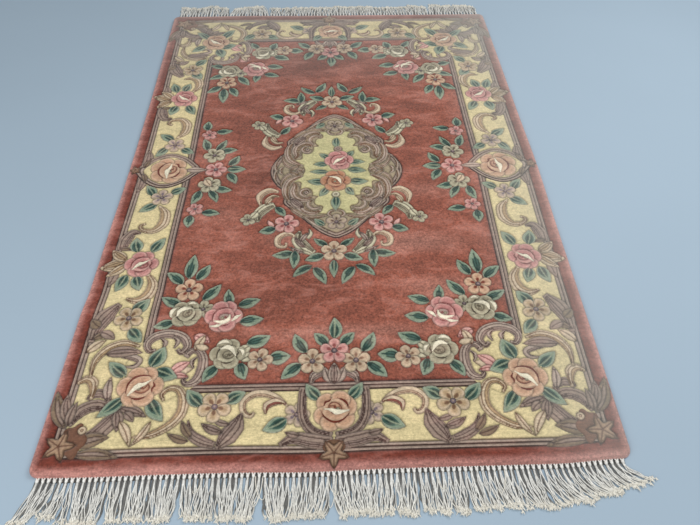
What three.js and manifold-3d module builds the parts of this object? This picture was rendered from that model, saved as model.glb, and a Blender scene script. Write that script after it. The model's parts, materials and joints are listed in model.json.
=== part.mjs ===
// A hand-knotted wool rug with a thick carved pile, lying flat on a floor, with a knotted
// cotton fringe at each end. Lengths are in millimetres, X runs across the rug, Y along it
// towards its far end, Z up. The floor is Z = 0.
import * as THREE from 'three';
import ManifoldModule from 'manifold-3d';

// Driving sizes.
const PILE = {
  width: 1528,        // across the pile, side to side
  length: 2286,       // along the pile, end to end, without the fringes
  thickness: 16,      // backing and pile together
  shoulder: 11,       // radius of the rounded top edge
  cornerRadius: 26,   // plan radius of the four corners
};
const FRINGE = {
  gap: 0.3,           // between the rug's end and the knotted strip
  halfSpan: 736,      // from the middle of the end to the last knot
  knots: 102,         // knots along each end
  stripDepth: 8,      // depth of the knotted strip
  stripHeight: 5,
  rootWidth: 8.5,     // a lock where it leaves its knot
  tipWidth: 5.5,
  rootHeight: 4.6,
  tipHeight: 3.0,
};
const COLOURS = { wool: 0xa85a50, cotton: 0xe9e3d6 };

// Soft ridges left across the rug by the folds it was stored in.
const CREASES = [
  { y: -510, height: 1.6, spread: 26 },
  { y: 354, height: 1.4, spread: 24 },
  { y: 594, height: 1.6, spread: 26 },
];

// The locks of each end gather into clumps. rootFrom and rootTo bound the knots of one clump,
// tipFrom and tipTo are where its outer locks end, reachFrom and reachTo how far they run out.
const CLUMP_COLUMNS = ['rootFrom', 'rootTo', 'tipFrom', 'tipTo', 'reachFrom', 'reachTo'];
const NEAR_CLUMPS = [
  [-740, -697, -784, -742, 108, 104],
  [-697, -646, -736, -654, 90, 104],
  [-646, -560, -632, -576, 108, 112],
  [-560, -440, -558, -438, 108, 108],
  [-440, -379, -430, -393, 110, 104],
  [-379, -296, -360, -296, 104, 112],
  [-296, -184, -282, -208, 110, 112],
  [-184, -90, -158, -100, 112, 110],
  [-90, -12, -96, -28, 104, 108],
  [-12, 146, 12, 146, 108, 102],
  [146, 204, 158, 198, 104, 112],
  [204, 330, 214, 345, 104, 110],
  [330, 500, 345, 540, 104, 104],
  [500, 640, 540, 705, 104, 78],
  [640, 741, 690, 806, 82, 52],
];
const FAR_CLUMPS = [
  [-740, -655, -736, -664, 104, 96],
  [-655, -585, -650, -592, 92, 116],
  [-585, -492, -588, -505, 116, 88],
  [-492, -390, -466, -396, 84, 106],
  [-390, -300, -384, -348, 100, 112],
  [-300, -190, -288, -196, 90, 88],
  [-190, 20, -184, 22, 96, 92],
  [20, 150, 24, 146, 104, 96],
  [150, 240, 158, 226, 104, 94],
  [240, 400, 236, 396, 90, 92],
  [400, 500, 408, 494, 112, 92],
  [500, 620, 514, 620, 112, 96],
  [620, 741, 626, 724, 106, 98],
];

const HALF_X = PILE.width / 2;
const HALF_Y = PILE.length / 2;
const LOCK_STATIONS = [0, 0.16, 0.4, 0.7, 1];

const bell = (value, centre, spread) => Math.exp(-(((value - centre) / spread) ** 2));

function smoothStep(value, from, to) {
  const t = Math.min(1, Math.max(0, (value - from) / (to - from)));
  return t * t * (3 - 2 * t);
}

// A repeatable scatter between -1 and 1.
function scatter(index, salt) {
  const wave = Math.sin(index * 12.9898 + salt * 78.233) * 43758.5453;
  return 2 * (wave - Math.floor(wave)) - 1;
}

// How the rug really lies: it bows to one side and its edges wander a little.
function lie(x, y) {
  const bow = 2 + 9 * (1 - (y / HALF_Y) ** 2) + 5 * bell(y, 0, 230);
  const leftEdge = -5 * smoothStep(y, -560, -660) + 3 * bell(y, 420, 260) - 2 * bell(y, 0, 90);
  const nearEdge = -4 * bell(x, -60, 130) - 2 * bell(x, -620, 120) + 9 * smoothStep(x, 560, 745);
  const farEdge = (-7 * x) / HALF_X + 4 * bell(x, -390, 130);
  const leftShare = smoothStep(x, -0.45 * HALF_X, -HALF_X);
  return [
    x + bow + leftEdge * leftShare,
    y + nearEdge * smoothStep(y, -0.7 * HALF_Y, -HALF_Y) + farEdge * smoothStep(y, 0.7 * HALF_Y, HALF_Y),
  ];
}

// Turns the square corners of the plan into arcs.
function roundCorner(x, y) {
  const r = PILE.cornerRadius;
  const dx = Math.abs(x) - (HALF_X - r);
  const dy = Math.abs(y) - (HALF_Y - r);
  if (dx <= 0 || dy <= 0) return [x, y];
  const pull = Math.max(dx, dy) / Math.hypot(dx, dy);
  return [Math.sign(x) * (HALF_X - r + dx * pull), Math.sign(y) * (HALF_Y - r + dy * pull)];
}

function pileHeight(x, y) {
  const inset = Math.min(HALF_X - Math.abs(x), HALF_Y - Math.abs(y));
  const flat = Math.max(0, PILE.shoulder - inset);
  const shoulder = PILE.thickness - PILE.shoulder + Math.sqrt(PILE.shoulder ** 2 - flat ** 2);
  const ridges = CREASES.reduce((sum, c) => sum + c.height * bell(y, c.y, c.spread), 0);
  return shoulder + ridges * smoothStep(inset, 0, 60);
}

// Grid lines across one direction: close together over the shoulder, wide in the middle.
function gridLines(half, extra) {
  const insets = [0, 1.2, 3.6, 7, 11, PILE.cornerRadius];
  const lines = insets.flatMap((inset) => [inset - half, half - inset]);
  const inner = half - PILE.cornerRadius;
  const steps = Math.round((2 * inner) / 120);
  for (let i = 1; i < steps; i += 1) lines.push(-inner + (2 * inner * i) / steps);
  const sorted = [...lines, ...extra].sort((a, b) => a - b);
  return sorted.filter((line, i) => i === 0 || line - sorted[i - 1] > 0.5);
}

// A closed mesh from points and faces given as vertex numbers.
function geometryFrom(points, faces) {
  const geometry = new THREE.BufferGeometry();
  geometry.setAttribute('position', new THREE.Float32BufferAttribute(points.flat(), 3));
  geometry.setIndex(faces.flat());
  geometry.computeVertexNormals();
  return geometry;
}

// The rug itself: one slab with a flat underside, a rounded shoulder and an uneven outline.
function rugGeometry() {
  const xs = gridLines(HALF_X, []);
  const ys = gridLines(HALF_Y, CREASES.flatMap((c) => [-1.6, -0.8, 0, 0.8, 1.6].map((k) => c.y + k * c.spread)));
  const layers = [() => 0, pileHeight];
  const points = layers.flatMap((height) =>
    ys.flatMap((y) => xs.map((x) => [...lie(...roundCorner(x, y)), height(x, y)])));
  const at = (layer, j, i) => (layer * ys.length + j) * xs.length + i;
  const faces = [];
  for (let j = 0; j + 1 < ys.length; j += 1) {
    for (let i = 0; i + 1 < xs.length; i += 1) {
      const top = [at(1, j, i), at(1, j, i + 1), at(1, j + 1, i + 1), at(1, j + 1, i)];
      const base = [at(0, j, i), at(0, j, i + 1), at(0, j + 1, i + 1), at(0, j + 1, i)];
      faces.push([top[0], top[1], top[2]], [top[0], top[2], top[3]]);
      faces.push([base[0], base[2], base[1]], [base[0], base[3], base[2]]);
    }
  }
  const wall = (a, b) => faces.push([a[0], b[0], b[1]], [a[0], b[1], a[1]]);
  const post = (j, i) => [at(0, j, i), at(1, j, i)];
  const [lastX, lastY] = [xs.length - 1, ys.length - 1];
  for (let i = 0; i < lastX; i += 1) {
    wall(post(0, i), post(0, i + 1));
    wall(post(lastY, i + 1), post(lastY, i));
  }
  for (let j = 0; j < lastY; j += 1) {
    wall(post(j + 1, 0), post(j, 0));
    wall(post(j, lastX), post(j + 1, lastX));
  }
  return geometryFrom(points, faces);
}

// A closed bar through a list of four-cornered sections, each given as base left, base right,
// top right and top left as seen looking along the bar.
function barBody(sections) {
  const points = sections.flat();
  const quad = (a, b, c, d) => [[a, b, c], [a, c, d]];
  const faces = quad(0, 1, 2, 3);
  for (let k = 0; k + 1 < sections.length; k += 1) {
    for (let side = 0; side < 4; side += 1) {
      const [a, b] = [4 * k + side, 4 * k + ((side + 1) % 4)];
      faces.push(...quad(b, a, a + 4, b + 4));
    }
  }
  const last = 4 * (sections.length - 1);
  faces.push(...quad(last + 3, last + 2, last + 1, last));
  return { points, faces };
}

// Sections for a lock that follows stations of middle line, width and height on the floor.
function lockSections(stations) {
  return stations.map(({ x, y, width, height }, k) => {
    const before = stations[Math.max(0, k - 1)];
    const after = stations[Math.min(stations.length - 1, k + 1)];
    const along = new THREE.Vector2(after.x - before.x, after.y - before.y).normalize();
    const corner = (side, z) => [x - along.y * side * (width / 2), y + along.x * side * (width / 2), z];
    return [corner(1, 0), corner(-1, 0), corner(-0.8, height), corner(0.8, height)];
  });
}

function manifoldFrom({ Manifold, Mesh }, { points, faces }) {
  return new Manifold(new Mesh({
    numProp: 3,
    vertProperties: new Float32Array(points.flat()),
    triVerts: new Uint32Array(faces.flat()),
  }));
}

function geometryOf(solid) {
  const mesh = solid.getMesh();
  const geometry = new THREE.BufferGeometry();
  geometry.setAttribute('position', new THREE.BufferAttribute(Float32Array.from(mesh.vertProperties), 3));
  geometry.setIndex(new THREE.BufferAttribute(Uint32Array.from(mesh.triVerts), 1));
  geometry.computeVertexNormals();
  return geometry;
}

// One lock, from its knot to its tip. end is -1 for the near fringe and 1 for the far one.
function lockStations(index, rootX, clump, end) {
  const share = (rootX - clump.rootFrom) / (clump.rootTo - clump.rootFrom);
  const tipX = THREE.MathUtils.lerp(clump.tipFrom, clump.tipTo, share) + 3 * scatter(index, 1 + end);
  const reach = THREE.MathUtils.lerp(clump.reachFrom, clump.reachTo, share) + 4 * scatter(index, 5 + end);
  const [startX, startY] = lie(rootX, end * (HALF_Y + FRINGE.gap + FRINGE.stripDepth / 2));
  const [, edgeY] = lie(rootX, end * HALF_Y);
  const out = end * (reach - Math.abs(startY - edgeY));
  return LOCK_STATIONS.map((t) => ({
    x: startX + (tipX - startX) * t ** 1.5,
    y: startY + out * (1 - (1 - t) ** 1.35),
    width: THREE.MathUtils.lerp(FRINGE.rootWidth, FRINGE.tipWidth, t) + 0.5 * scatter(index, 3),
    height: THREE.MathUtils.lerp(FRINGE.rootHeight, FRINGE.tipHeight, t) + 0.3 * scatter(index, 4),
  }));
}

// Sections for the knotted strip, which follows the rug's end at the small gap.
function stripSections(end) {
  const near = end * (HALF_Y + FRINGE.gap);
  const far = end * (HALF_Y + FRINGE.gap + FRINGE.stripDepth);
  const [left, right] = end > 0 ? [far, near] : [near, far];
  const spots = gridLines(HALF_X, []).filter((x) => Math.abs(x) <= HALF_X - PILE.cornerRadius + 0.1);
  return spots.map((x) => [[left, 0], [right, 0], [right, FRINGE.stripHeight], [left, FRINGE.stripHeight]]
    .map(([y, z]) => [...lie(x, y), z]));
}

// A whole fringe: the strip and every lock, joined into one body.
function fringeGeometry(wasm, rows, end) {
  const clumps = rows.map((row) => Object.fromEntries(CLUMP_COLUMNS.map((name, i) => [name, row[i]])));
  const solids = [manifoldFrom(wasm, barBody(stripSections(end)))];
  for (let i = 0; i <= FRINGE.knots; i += 1) {
    const rootX = THREE.MathUtils.lerp(-FRINGE.halfSpan, FRINGE.halfSpan, i / FRINGE.knots);
    const clump = clumps.find((c) => rootX >= c.rootFrom && rootX < c.rootTo);
    solids.push(manifoldFrom(wasm, barBody(lockSections(lockStations(i, rootX, clump, end)))));
  }
  return geometryOf(wasm.Manifold.union(solids));
}

function namedMesh(name, geometry, colour) {
  const material = new THREE.MeshStandardMaterial({ color: colour, roughness: 0.95, metalness: 0 });
  material.name = `${name}_finish`;
  const mesh = new THREE.Mesh(geometry, material);
  mesh.name = name;
  return mesh;
}

const wasm = await ManifoldModule();
wasm.setup();

const group = new THREE.Group();
group.name = 'rug_with_fringes';
group.add(namedMesh('rug', rugGeometry(), COLOURS.wool));
group.add(namedMesh('fringe_near', fringeGeometry(wasm, NEAR_CLUMPS, -1), COLOURS.cotton));
group.add(namedMesh('fringe_far', fringeGeometry(wasm, FAR_CLUMPS, 1), COLOURS.cotton));

// The origin is the middle of the underside of the whole.
const middle = new THREE.Box3().setFromObject(group).getCenter(new THREE.Vector3());
for (const mesh of group.children) mesh.geometry.translate(-middle.x, -middle.y, 0);

export default group;
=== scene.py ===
"""Dresses a carved, hand-knotted wool rug with knotted cotton fringes.

The pile is knotted in lengthwise breadths. Its pattern is drawn as closed patches and lines in
millimetres on the flat rug, the grid of tufts is pulled onto their outlines, and each outline is
carved into the pile.
"""
import json
import math
from dataclasses import dataclass, replace

import bpy
import numpy as np
from bpy.props import FloatProperty, FloatVectorProperty, IntProperty, PointerProperty
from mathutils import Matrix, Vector

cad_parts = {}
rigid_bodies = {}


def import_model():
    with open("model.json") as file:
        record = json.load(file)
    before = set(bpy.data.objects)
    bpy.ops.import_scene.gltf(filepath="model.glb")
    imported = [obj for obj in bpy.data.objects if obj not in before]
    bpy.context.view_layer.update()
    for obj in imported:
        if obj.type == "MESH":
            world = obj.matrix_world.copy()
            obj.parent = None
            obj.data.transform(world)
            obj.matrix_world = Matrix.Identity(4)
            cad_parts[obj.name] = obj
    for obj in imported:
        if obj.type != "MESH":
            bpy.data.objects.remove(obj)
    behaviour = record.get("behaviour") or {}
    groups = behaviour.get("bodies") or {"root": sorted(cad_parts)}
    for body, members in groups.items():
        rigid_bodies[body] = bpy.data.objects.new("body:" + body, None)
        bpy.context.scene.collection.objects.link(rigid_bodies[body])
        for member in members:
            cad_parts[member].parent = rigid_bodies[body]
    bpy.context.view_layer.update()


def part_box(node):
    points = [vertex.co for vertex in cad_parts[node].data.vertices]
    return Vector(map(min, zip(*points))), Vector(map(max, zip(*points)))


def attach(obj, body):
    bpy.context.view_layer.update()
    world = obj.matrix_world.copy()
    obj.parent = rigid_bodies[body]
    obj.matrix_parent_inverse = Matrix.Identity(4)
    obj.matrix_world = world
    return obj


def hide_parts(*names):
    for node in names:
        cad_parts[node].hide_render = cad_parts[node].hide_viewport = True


bl_info = {
    "name": "Carved wool rug",
    "version": (1, 0, 0),
    "blender": (4, 5, 0),
    "location": "View3D > Sidebar > Rug",
    "description": "Builds a carved floral wool rug with knotted cotton fringes",
    "category": "Object",
}

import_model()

MM = 0.001  # metres in a millimetre

# Sizes of the solid model, in millimetres.
HALF_X = 764.0       # half the pile's width
HALF_Y = 1143.0      # half its length
THICKNESS = 16.0
SHOULDER = 11.0      # radius of the rounded top edge
CORNER = 26.0        # plan radius of the four corners
FRINGE_HALF = 736.0  # from the middle of an end to its last knot
CREASES = ((-510.0, 1.6, 26.0), (354.0, 1.4, 24.0), (594.0, 1.6, 26.0))  # y, height, spread

# Sizes of the pieces made here, in millimetres.
PILE_BOTTOM = 2.0
FOUNDATION_TOP = 2.4
KNOT_OUT = 7.5       # from the rug's end to the middle of a knot

# Shares of the dye and of the painted shade and highlight.
CARVED_SHADE = 0.68  # painted shade: how much darker the wool is painted at the bottom of a carved line, where the groove lies in shade
PATCH_VARIATION_AND_SHEEN = 0.35    # how much the dye of a motif varies and how much painted nap highlight shows on it, where the field has 1
GUARD_VARIATION_AND_SHEEN = 0.7     # the same for the red band round the outside

# Half sizes of the two banded frames, in millimetres.
OUTER_FRAME = (722, 1100)
INNER_FRAME = (554, 923)

# Where the dye of the field and the guard turns paler or darker: x, y, spread x, spread y, change.
BATCHES = (
    (-250, 0, 80, 130, -0.13), (-190, -480, 120, 42, -0.13), (-240, -622, 100, 62, -0.13),
    (-60, -575, 120, 66, -0.13), (260, -390, 190, 50, 0.19), (-150, -360, 90, 40, 0.12),
    (30, -735, 340, 30, 0.17), (345, -575, 130, 50, 0.17), (330, -130, 120, 34, 0.10),
    (-370, -240, 110, 50, 0.08), (-130, 690, 150, 90, -0.10), (-330, 430, 180, 50, -0.08),
    (60, 610, 80, 60, 0.08), (-120, 500, 60, 36, 0.14), (330, 390, 90, 60, -0.08),
    (250, 470, 70, 40, 0.12), (-400, 350, 80, 40, 0.08), (-160, -700, 60, 50, -0.05),
    (-300, 220, 150, 280, -0.05), (0, 640, 320, 200, -0.1), (-290, 342, 70, 60, -0.06),
    (-286, -107, 60, 110, -0.07), (292, -463, 110, 70, -0.05), (-49, -1114, 520, 30, -0.06),
)

# Clumps of a fringe: first and last knot x, first and last tip x, first and last reach.
NEAR_CLUMPS = (
    (-740, -697, -784, -742, 108, 104), (-697, -646, -736, -654, 90, 104),
    (-646, -560, -632, -576, 108, 112), (-560, -440, -558, -438, 108, 108),
    (-440, -379, -430, -393, 110, 104), (-379, -296, -360, -296, 104, 112),
    (-296, -184, -282, -208, 110, 112), (-184, -90, -158, -100, 112, 110),
    (-90, -12, -96, -28, 104, 108), (-12, 146, 12, 146, 108, 102),
    (146, 204, 158, 198, 104, 112), (204, 330, 214, 345, 104, 110),
    (330, 500, 345, 540, 104, 104), (500, 640, 540, 705, 104, 78),
    (640, 741, 690, 806, 82, 52),
)
FAR_CLUMPS = (
    (-740, -655, -736, -664, 104, 96), (-655, -585, -650, -592, 92, 116),
    (-585, -492, -588, -505, 116, 88), (-492, -390, -466, -396, 84, 106),
    (-390, -300, -384, -348, 100, 112), (-300, -190, -288, -196, 90, 88),
    (-190, 20, -184, 22, 96, 92), (20, 150, 24, 146, 104, 96),
    (150, 240, 158, 226, 104, 94), (240, 400, 236, 396, 90, 92),
    (400, 500, 408, 494, 112, 92), (500, 620, 514, 620, 112, 96),
    (620, 741, 626, 724, 106, 98),
)
# Single strands that curl back: knot x, drop, sideways.
CURLS = (
    (-560, 44, 22), (-196, 58, 26), (-178, 74, -20), (-14, 50, 26), (6, 80, -18), (-330, 40, -18),
    (256, 46, 20), (430, 60, -22),
)
# A knot, from the rug's side outwards: shares of its half length, and its radius there.
KNOT_HALF = 5.2
KNOT_SHARES = (-1.0, -0.75, -0.3, 0.2, 0.65, 1.0)
KNOT_RADII = (1.4, 3.3, 4.3, 4.2, 3.5, 2.6)
# The strands below a knot lie in three layers, the lowest widest and painted dark as a painted shadow under
# the others:
# how far they fan out at the knot, how much more further out, their width and their painted brightness.
LAYERS = ((5.2, 2.1, 1.15, 0.2), (1.8, 5.5, 0.66, 0.9), (1.8, 5.5, 0.66, 1.0))
LAYER_RISE = 1.25      # from one layer to the next
STRAND_STATIONS = 9    # points along a strand
FRAYS = 4              # frayed ends of a strand
SHADOW_STRIP_STATIONS = 90      # points along the painted shadow strip at the end of the weave
# Section of the painted shadow strip at the end of the weave, round from below the pile: distance out from
# the rug's end, height.
SHADOW_STRIP_SECTION = ((-3, 0.2), (12, 0.2), (12, 0.9), (-3, 1.6))
SHADOW_STRIP_SHADE = 0.09       # painted shadow: how bright the strip is painted, as in the shade of the pile and the knots

# Name, place and size in metres, and power in watts of each light.
LIGHTS = (("window_light", (-1.8, -2.6, 2.6), 2.6, 61), ("ceiling_light", (2.3, 0.4, 3.0), 2.4, 74))
ROOM_LIGHT = ("#F2F5F8", 0.44)  # colour and strength of the light all round

# Sizes of the wool's uneven patches, in millimetres across the rug and along it.
DYE_BATCH = (312.5, 135.1)    # from one batch of dyed wool to the next
NAP_PATCH = (100.0, 41.67)    # wool whose nap lies one way, with its painted shading
YARN_STREAK = (14.29, 3.333)  # one length of yarn

# Colours of painted light that the dyed wool turns towards.
NAP_HIGHLIGHT = "#CC978A"  # painted highlight where the tips of the nap look up at the light
PAINTED_GLARE = "#BCBEB8"    # painted glare: the pale grey the wool turns to where it looks hazed by the light


def linear(hex_colour):
    """Turns an sRGB hex colour into linear values."""
    values = [int(hex_colour[i:i + 2], 16) / 255 for i in (1, 3, 5)]
    return tuple(v / 12.92 if v <= 0.04045 else ((v + 0.055) / 1.055) ** 2.4 for v in values)


def dye(name, description, hex_colour):
    """A colour property whose default is an sRGB hex colour."""
    return FloatVectorProperty(name=name, description=description, subtype="COLOR", size=3,
                               min=0.0, max=1.0, default=linear(hex_colour))


class RugDyes(bpy.types.PropertyGroup):
    """Dyes of the wool and the colour of the cotton."""
    field: dye("Field", "Terracotta ground of the middle", "#9A5744")
    field_dark: dye("Field, dark", "Darker batch of the terracotta", "#8A4C3F")
    field_light: dye("Field, light", "Lighter batch of the terracotta", "#C08A7A")
    guard: dye("Guard", "Red band round the outside", "#7E3A2B")
    # Painted highlight: the rounded edge of the pile is painted paler, as it turns towards the light.
    guard_edge_highlight: dye("Guard edge", "Paler wool on the rounded edge", "#CC8F84")
    ivory: dye("Ivory", "Ground of the border", "#E3D19E")
    ivory_pale: dye("Ivory, pale", "Ground in the middle of the medallion", "#CAC28F")
    taupe: dye("Taupe", "Body of the scrolls and frame bands", "#A28C7D")
    taupe_dark: dye("Taupe, dark", "Outlines of scrolls and frame bands", "#553F38")
    taupe_light: dye("Taupe, light", "Light sides of the scrolls", "#BDA898")
    mauve: dye("Mauve", "Mauve side of the scrolls", "#9A8478")
    tan: dye("Tan", "Tan scrolls", "#B69A76")
    tan_dark: dye("Tan, dark", "Lines in the tan scrolls", "#74563F")
    bronze: dye("Bronze", "Body of the stars", "#B09074")
    brown: dye("Brown", "Deepest brown behind the stars", "#7C5642")
    umber: dye("Umber", "Brown leaves of the scrolls", "#8C7760")
    dusk: dye("Dusk", "Body of the dusky flowers", "#B39C90")
    leaf: dye("Leaf", "Body of the leaves", "#889A82")
    leaf_rim: dye("Leaf rim", "Pale rim of the leaves", "#C6CCB4")
    leaf_mid: dye("Leaf middle", "Green between rim and heart", "#48685C")
    leaf_core: dye("Leaf heart", "Dark heart of the leaves", "#243E36")
    vein: dye("Vein", "Light veins", "#A9B496")
    pink: dye("Pink", "Body of the pink flowers", "#C48680")
    pink_light: dye("Pink, light", "Rims of the pink flowers", "#E6B2A6")
    pink_dark: dye("Pink, dark", "Lines in the pink flowers", "#8E4C46")
    peach: dye("Peach", "Body of the peach roses", "#C69C7E")
    peach_light: dye("Peach, light", "Rims of the peach roses", "#E2BF9F")
    peach_dark: dye("Peach, dark", "Red lines in the peach roses", "#7A3524")
    beige: dye("Beige", "Body of the beige flowers", "#BFA388")
    beige_light: dye("Beige, light", "Rims of the beige flowers", "#D8C2A4")
    beige_dark: dye("Beige, dark", "Lines in the beige flowers", "#7C5C46")
    sage: dye("Sage", "Body of the grey-green flowers", "#A39980")
    sage_light: dye("Sage, light", "Rims of the grey-green flowers", "#D0C8AA")
    sage_dark: dye("Sage, dark", "Lines in the grey-green flowers", "#5E5442")
    cream: dye("Cream", "Turned-over petals that catch the light", "#FAF0D4")
    heart: dye("Heart", "Grey hearts of the flowers", "#75686E")
    russet: dye("Russet", "Body of the medallion's lower rose", "#B88262")
    russet_dark: dye("Russet, dark", "Folds of that rose", "#7E412B")
    olive: dye("Olive", "Ground of the medallion", "#A8987C")
    cotton: dye("Cotton", "Fringe at its knots", "#FFFEF8")
    cotton_tip: dye("Cotton tip", "Yellowed ends of the fringe", "#FFFAEC")


class PileSettings(bpy.types.PropertyGroup):
    """How the pile is knotted and carved."""
    columns: IntProperty(name="Columns", description="Tuft columns across the rug", default=480, min=100)
    rows: IntProperty(name="Rows", description="Tuft rows along the rug", default=718, min=100)
    breadths: IntProperty(name="Breadths", description="Lengthwise pieces the pile is made in",
                          default=5, min=1)
    groove: FloatProperty(name="Carving depth", description="Depth of the carved outlines, mm",
                          default=3.8, min=0.0)
    groove_width: FloatProperty(name="Carving width", description="Half width of the carving, mm",
                                default=2.25, min=0.5)
    lift: FloatProperty(name="Lift", description="Height of a raised patch, mm", default=1.2, min=0.0)
    tuft: FloatProperty(name="Tuft", description="Size at which a tuft is drawn, mm", default=3.0, min=0.5)


class FringeSettings(bpy.types.PropertyGroup):
    """How the fringes are knotted."""
    knots: IntProperty(name="Knots", description="Spaces between the knots of one end", default=102, min=2)
    strands: IntProperty(name="Strands", description="Loose strands from each knot", default=8, min=1)
    strand: FloatProperty(name="Strand", description="Diameter of a strand, mm", default=3.3, min=0.5)


class StageSettings(bpy.types.PropertyGroup):
    """Camera, floor and lights."""
    camera_at: FloatVectorProperty(name="Camera", description="Where the camera stands", unit="LENGTH",
                                   subtype="TRANSLATION", default=(0.026, -1.730, 1.506))
    look: FloatVectorProperty(name="Look", description="Direction the camera looks in", subtype="DIRECTION",
                              default=(0.018, 0.646, -0.763))
    lens: FloatProperty(name="Lens", description="Focal length on a 36 mm sensor, mm", default=31.06, min=1.0)
    floor: dye("Floor", "Plain pale floor", "#A6B9C8")
    floor_half: FloatProperty(name="Floor size", description="From the rug to the floor's edge",
                              unit="LENGTH", default=24.0, min=2.0)


# How the rug lies

def bell(value, centre, spread):
    """A soft bump of height 1."""
    return np.exp(-((value - centre) / spread) ** 2)


def smooth_step(value, start, end):
    """Rises from 0 at start to 1 at end."""
    t = np.clip((value - start) / (end - start), 0.0, 1.0)
    return t * t * (3 - 2 * t)


def scatter(index, salt):
    """A repeatable scatter between -1 and 1."""
    wave = np.sin(index * 12.9898 + salt * 78.233) * 43758.5453
    return 2 * (wave - np.floor(wave)) - 1


def lie(x, y):
    """Moves points of the straight rug to where they lie on the floor, in millimetres."""
    bow = 2 + 9 * (1 - (y / HALF_Y) ** 2) + 5 * bell(y, 0, 230)
    left = -5 * smooth_step(y, -560, -660) + 3 * bell(y, 420, 260) - 2 * bell(y, 0, 90)
    near = -4 * bell(x, -60, 130) - 2 * bell(x, -620, 120) + 9 * smooth_step(x, 560, 745)
    far = -7 * x / HALF_X + 4 * bell(x, -390, 130)
    share = smooth_step(x, -0.45 * HALF_X, -HALF_X)
    return (x + bow + left * share,
            y + near * smooth_step(y, -0.7 * HALF_Y, -HALF_Y) + far * smooth_step(y, 0.7 * HALF_Y, HALF_Y))


def round_corner(x, y):
    """Turns the square corners of the plan into arcs."""
    dx = np.abs(x) - (HALF_X - CORNER)
    dy = np.abs(y) - (HALF_Y - CORNER)
    inside = (dx > 0) & (dy > 0)
    pull = np.where(inside, np.maximum(dx, dy) / np.maximum(np.hypot(dx, dy), 1e-6), 1.0)
    return (np.where(inside, np.sign(x) * (HALF_X - CORNER + dx * pull), x),
            np.where(inside, np.sign(y) * (HALF_Y - CORNER + dy * pull), y))


def inset_of(x, y):
    """Distance in from the rug's edge."""
    return np.minimum(HALF_X - np.abs(x), HALF_Y - np.abs(y))


def pile_height(x, y):
    """Height of the uncut pile: its rounded edge and the soft ridges of old folds."""
    inset = inset_of(x, y)
    flat = np.maximum(0.0, SHOULDER - inset)
    height = THICKNESS - SHOULDER + np.sqrt(np.maximum(SHOULDER ** 2 - flat ** 2, 0.0))
    ridges = sum(h * bell(y, at, spread) for at, h, spread in CREASES)
    return height + ridges * smooth_step(inset, 0, 60)


def floor_offset():
    """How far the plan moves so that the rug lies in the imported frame."""
    low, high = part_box("rug")
    edge = np.linspace(-1, 1, 801)
    x, _ = lie(np.array([[-HALF_X], [HALF_X]]), edge * (HALF_Y - CORNER))
    _, y = lie(edge * (HALF_X - CORNER), np.array([[-HALF_Y], [HALF_Y]]))
    return ((low[0] + high[0]) / 2 / MM - (x.min() + x.max()) / 2,
            (low[1] + high[1]) / 2 / MM - (y.min() + y.max()) / 2)


# Drawing curves, in millimetres

def smooth(points, steps=6, closed=False):
    """A smooth curve through a few points."""
    p = np.asarray(points, float)
    if closed:
        p = np.vstack([p[-1], p, p[0], p[1]])
    else:
        p = np.vstack([2 * p[0] - p[1], p, 2 * p[-1] - p[-2]])
    t = np.linspace(0, 1, steps, endpoint=False)[:, None]
    pieces = []
    for a, b, c, d in zip(p[:-3], p[1:-2], p[2:-1], p[3:]):
        pieces.append(0.5 * (2 * b + (c - a) * t + (2 * a - 5 * b + 4 * c - d) * t ** 2
                             + (3 * b - a - 3 * c + d) * t ** 3))
    curve = np.vstack(pieces)
    return curve if closed else np.vstack([curve, p[-2]])


def sides(path):
    """Unit vectors square to a path, to its left."""
    run = np.gradient(path, axis=0)
    run /= np.maximum(np.hypot(*run.T)[:, None], 1e-9)
    return np.stack([-run[:, 1], run[:, 0]], axis=1)


def ribbon(path, widths):
    """The closed outline of a band along a path, with widths spread evenly over it."""
    spots = np.linspace(0, 1, len(widths))
    half = 0.5 * np.interp(np.linspace(0, 1, len(path)), spots, widths)[:, None]
    reach = sides(path) * half
    return np.vstack([path + reach, (path - reach)[::-1]])


def ring(radius_x, radius_y=None, lobes=0, depth=0.0, steps=28, at=(0.0, 0.0)):
    """A round or lobed closed outline."""
    a = np.linspace(0, 2 * math.pi, steps, endpoint=False)
    wave = 1 + depth * np.cos(lobes * a)
    path = np.stack([radius_x * wave * np.cos(a), (radius_y or radius_x) * wave * np.sin(a)], axis=1)
    return path + np.asarray(at)


def blade(length, width, bend=0.0, belly=0.8, steps=14):
    """A pointed leaf outline from the origin along X."""
    t = np.linspace(0, 1, steps)
    middle = np.stack([length * t, bend * length * np.sin(math.pi * t)], axis=1)
    half = 0.5 * width * np.sin(math.pi * t ** belly) ** 0.85
    half[-1] = half[0] = 0.0
    reach = sides(middle) * half[:, None]
    return np.vstack([middle + reach, (middle - reach)[-2:0:-1]])


def turned(path, degrees):
    """A path turned about the origin."""
    a = math.radians(degrees)
    c, s = math.cos(a), math.sin(a)
    return path @ np.array([[c, s], [-s, c]])


@dataclass
class Mark:
    """A patch or a line of the pattern."""
    path: np.ndarray      # outline of the patch, or the middle of the line
    rim: str              # dye along the outline
    core: str             # dye further in
    fade: float = 7.0     # how far in the rim dye reaches
    edge: float = 1.0     # how deep it is carved, 1 is the full groove
    lift: float = 0.6     # how far the patch stands up
    width: float = 0.0    # width of a line, 0 for a patch


def line(path, colour, width, edge):
    """A thin line of one dye."""
    return Mark(np.asarray(path, float), colour, colour, edge=edge, width=width)


def placed(marks, x, y, turn=0.0, size=1.0):
    """Copies marks to a place on the rug."""
    return [replace(m, path=turned(m.path * size, turn) + (x, y)) for m in marks]


def mirrored(marks, across=True, along=True):
    """Copies marks to the other quarters of the rug."""
    signs = [(a, b) for a in ((1, -1) if across else (1,)) for b in ((1, -1) if along else (1,))]
    return [replace(m, path=m.path * s) for s in signs for m in marks]


# Motifs

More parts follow.
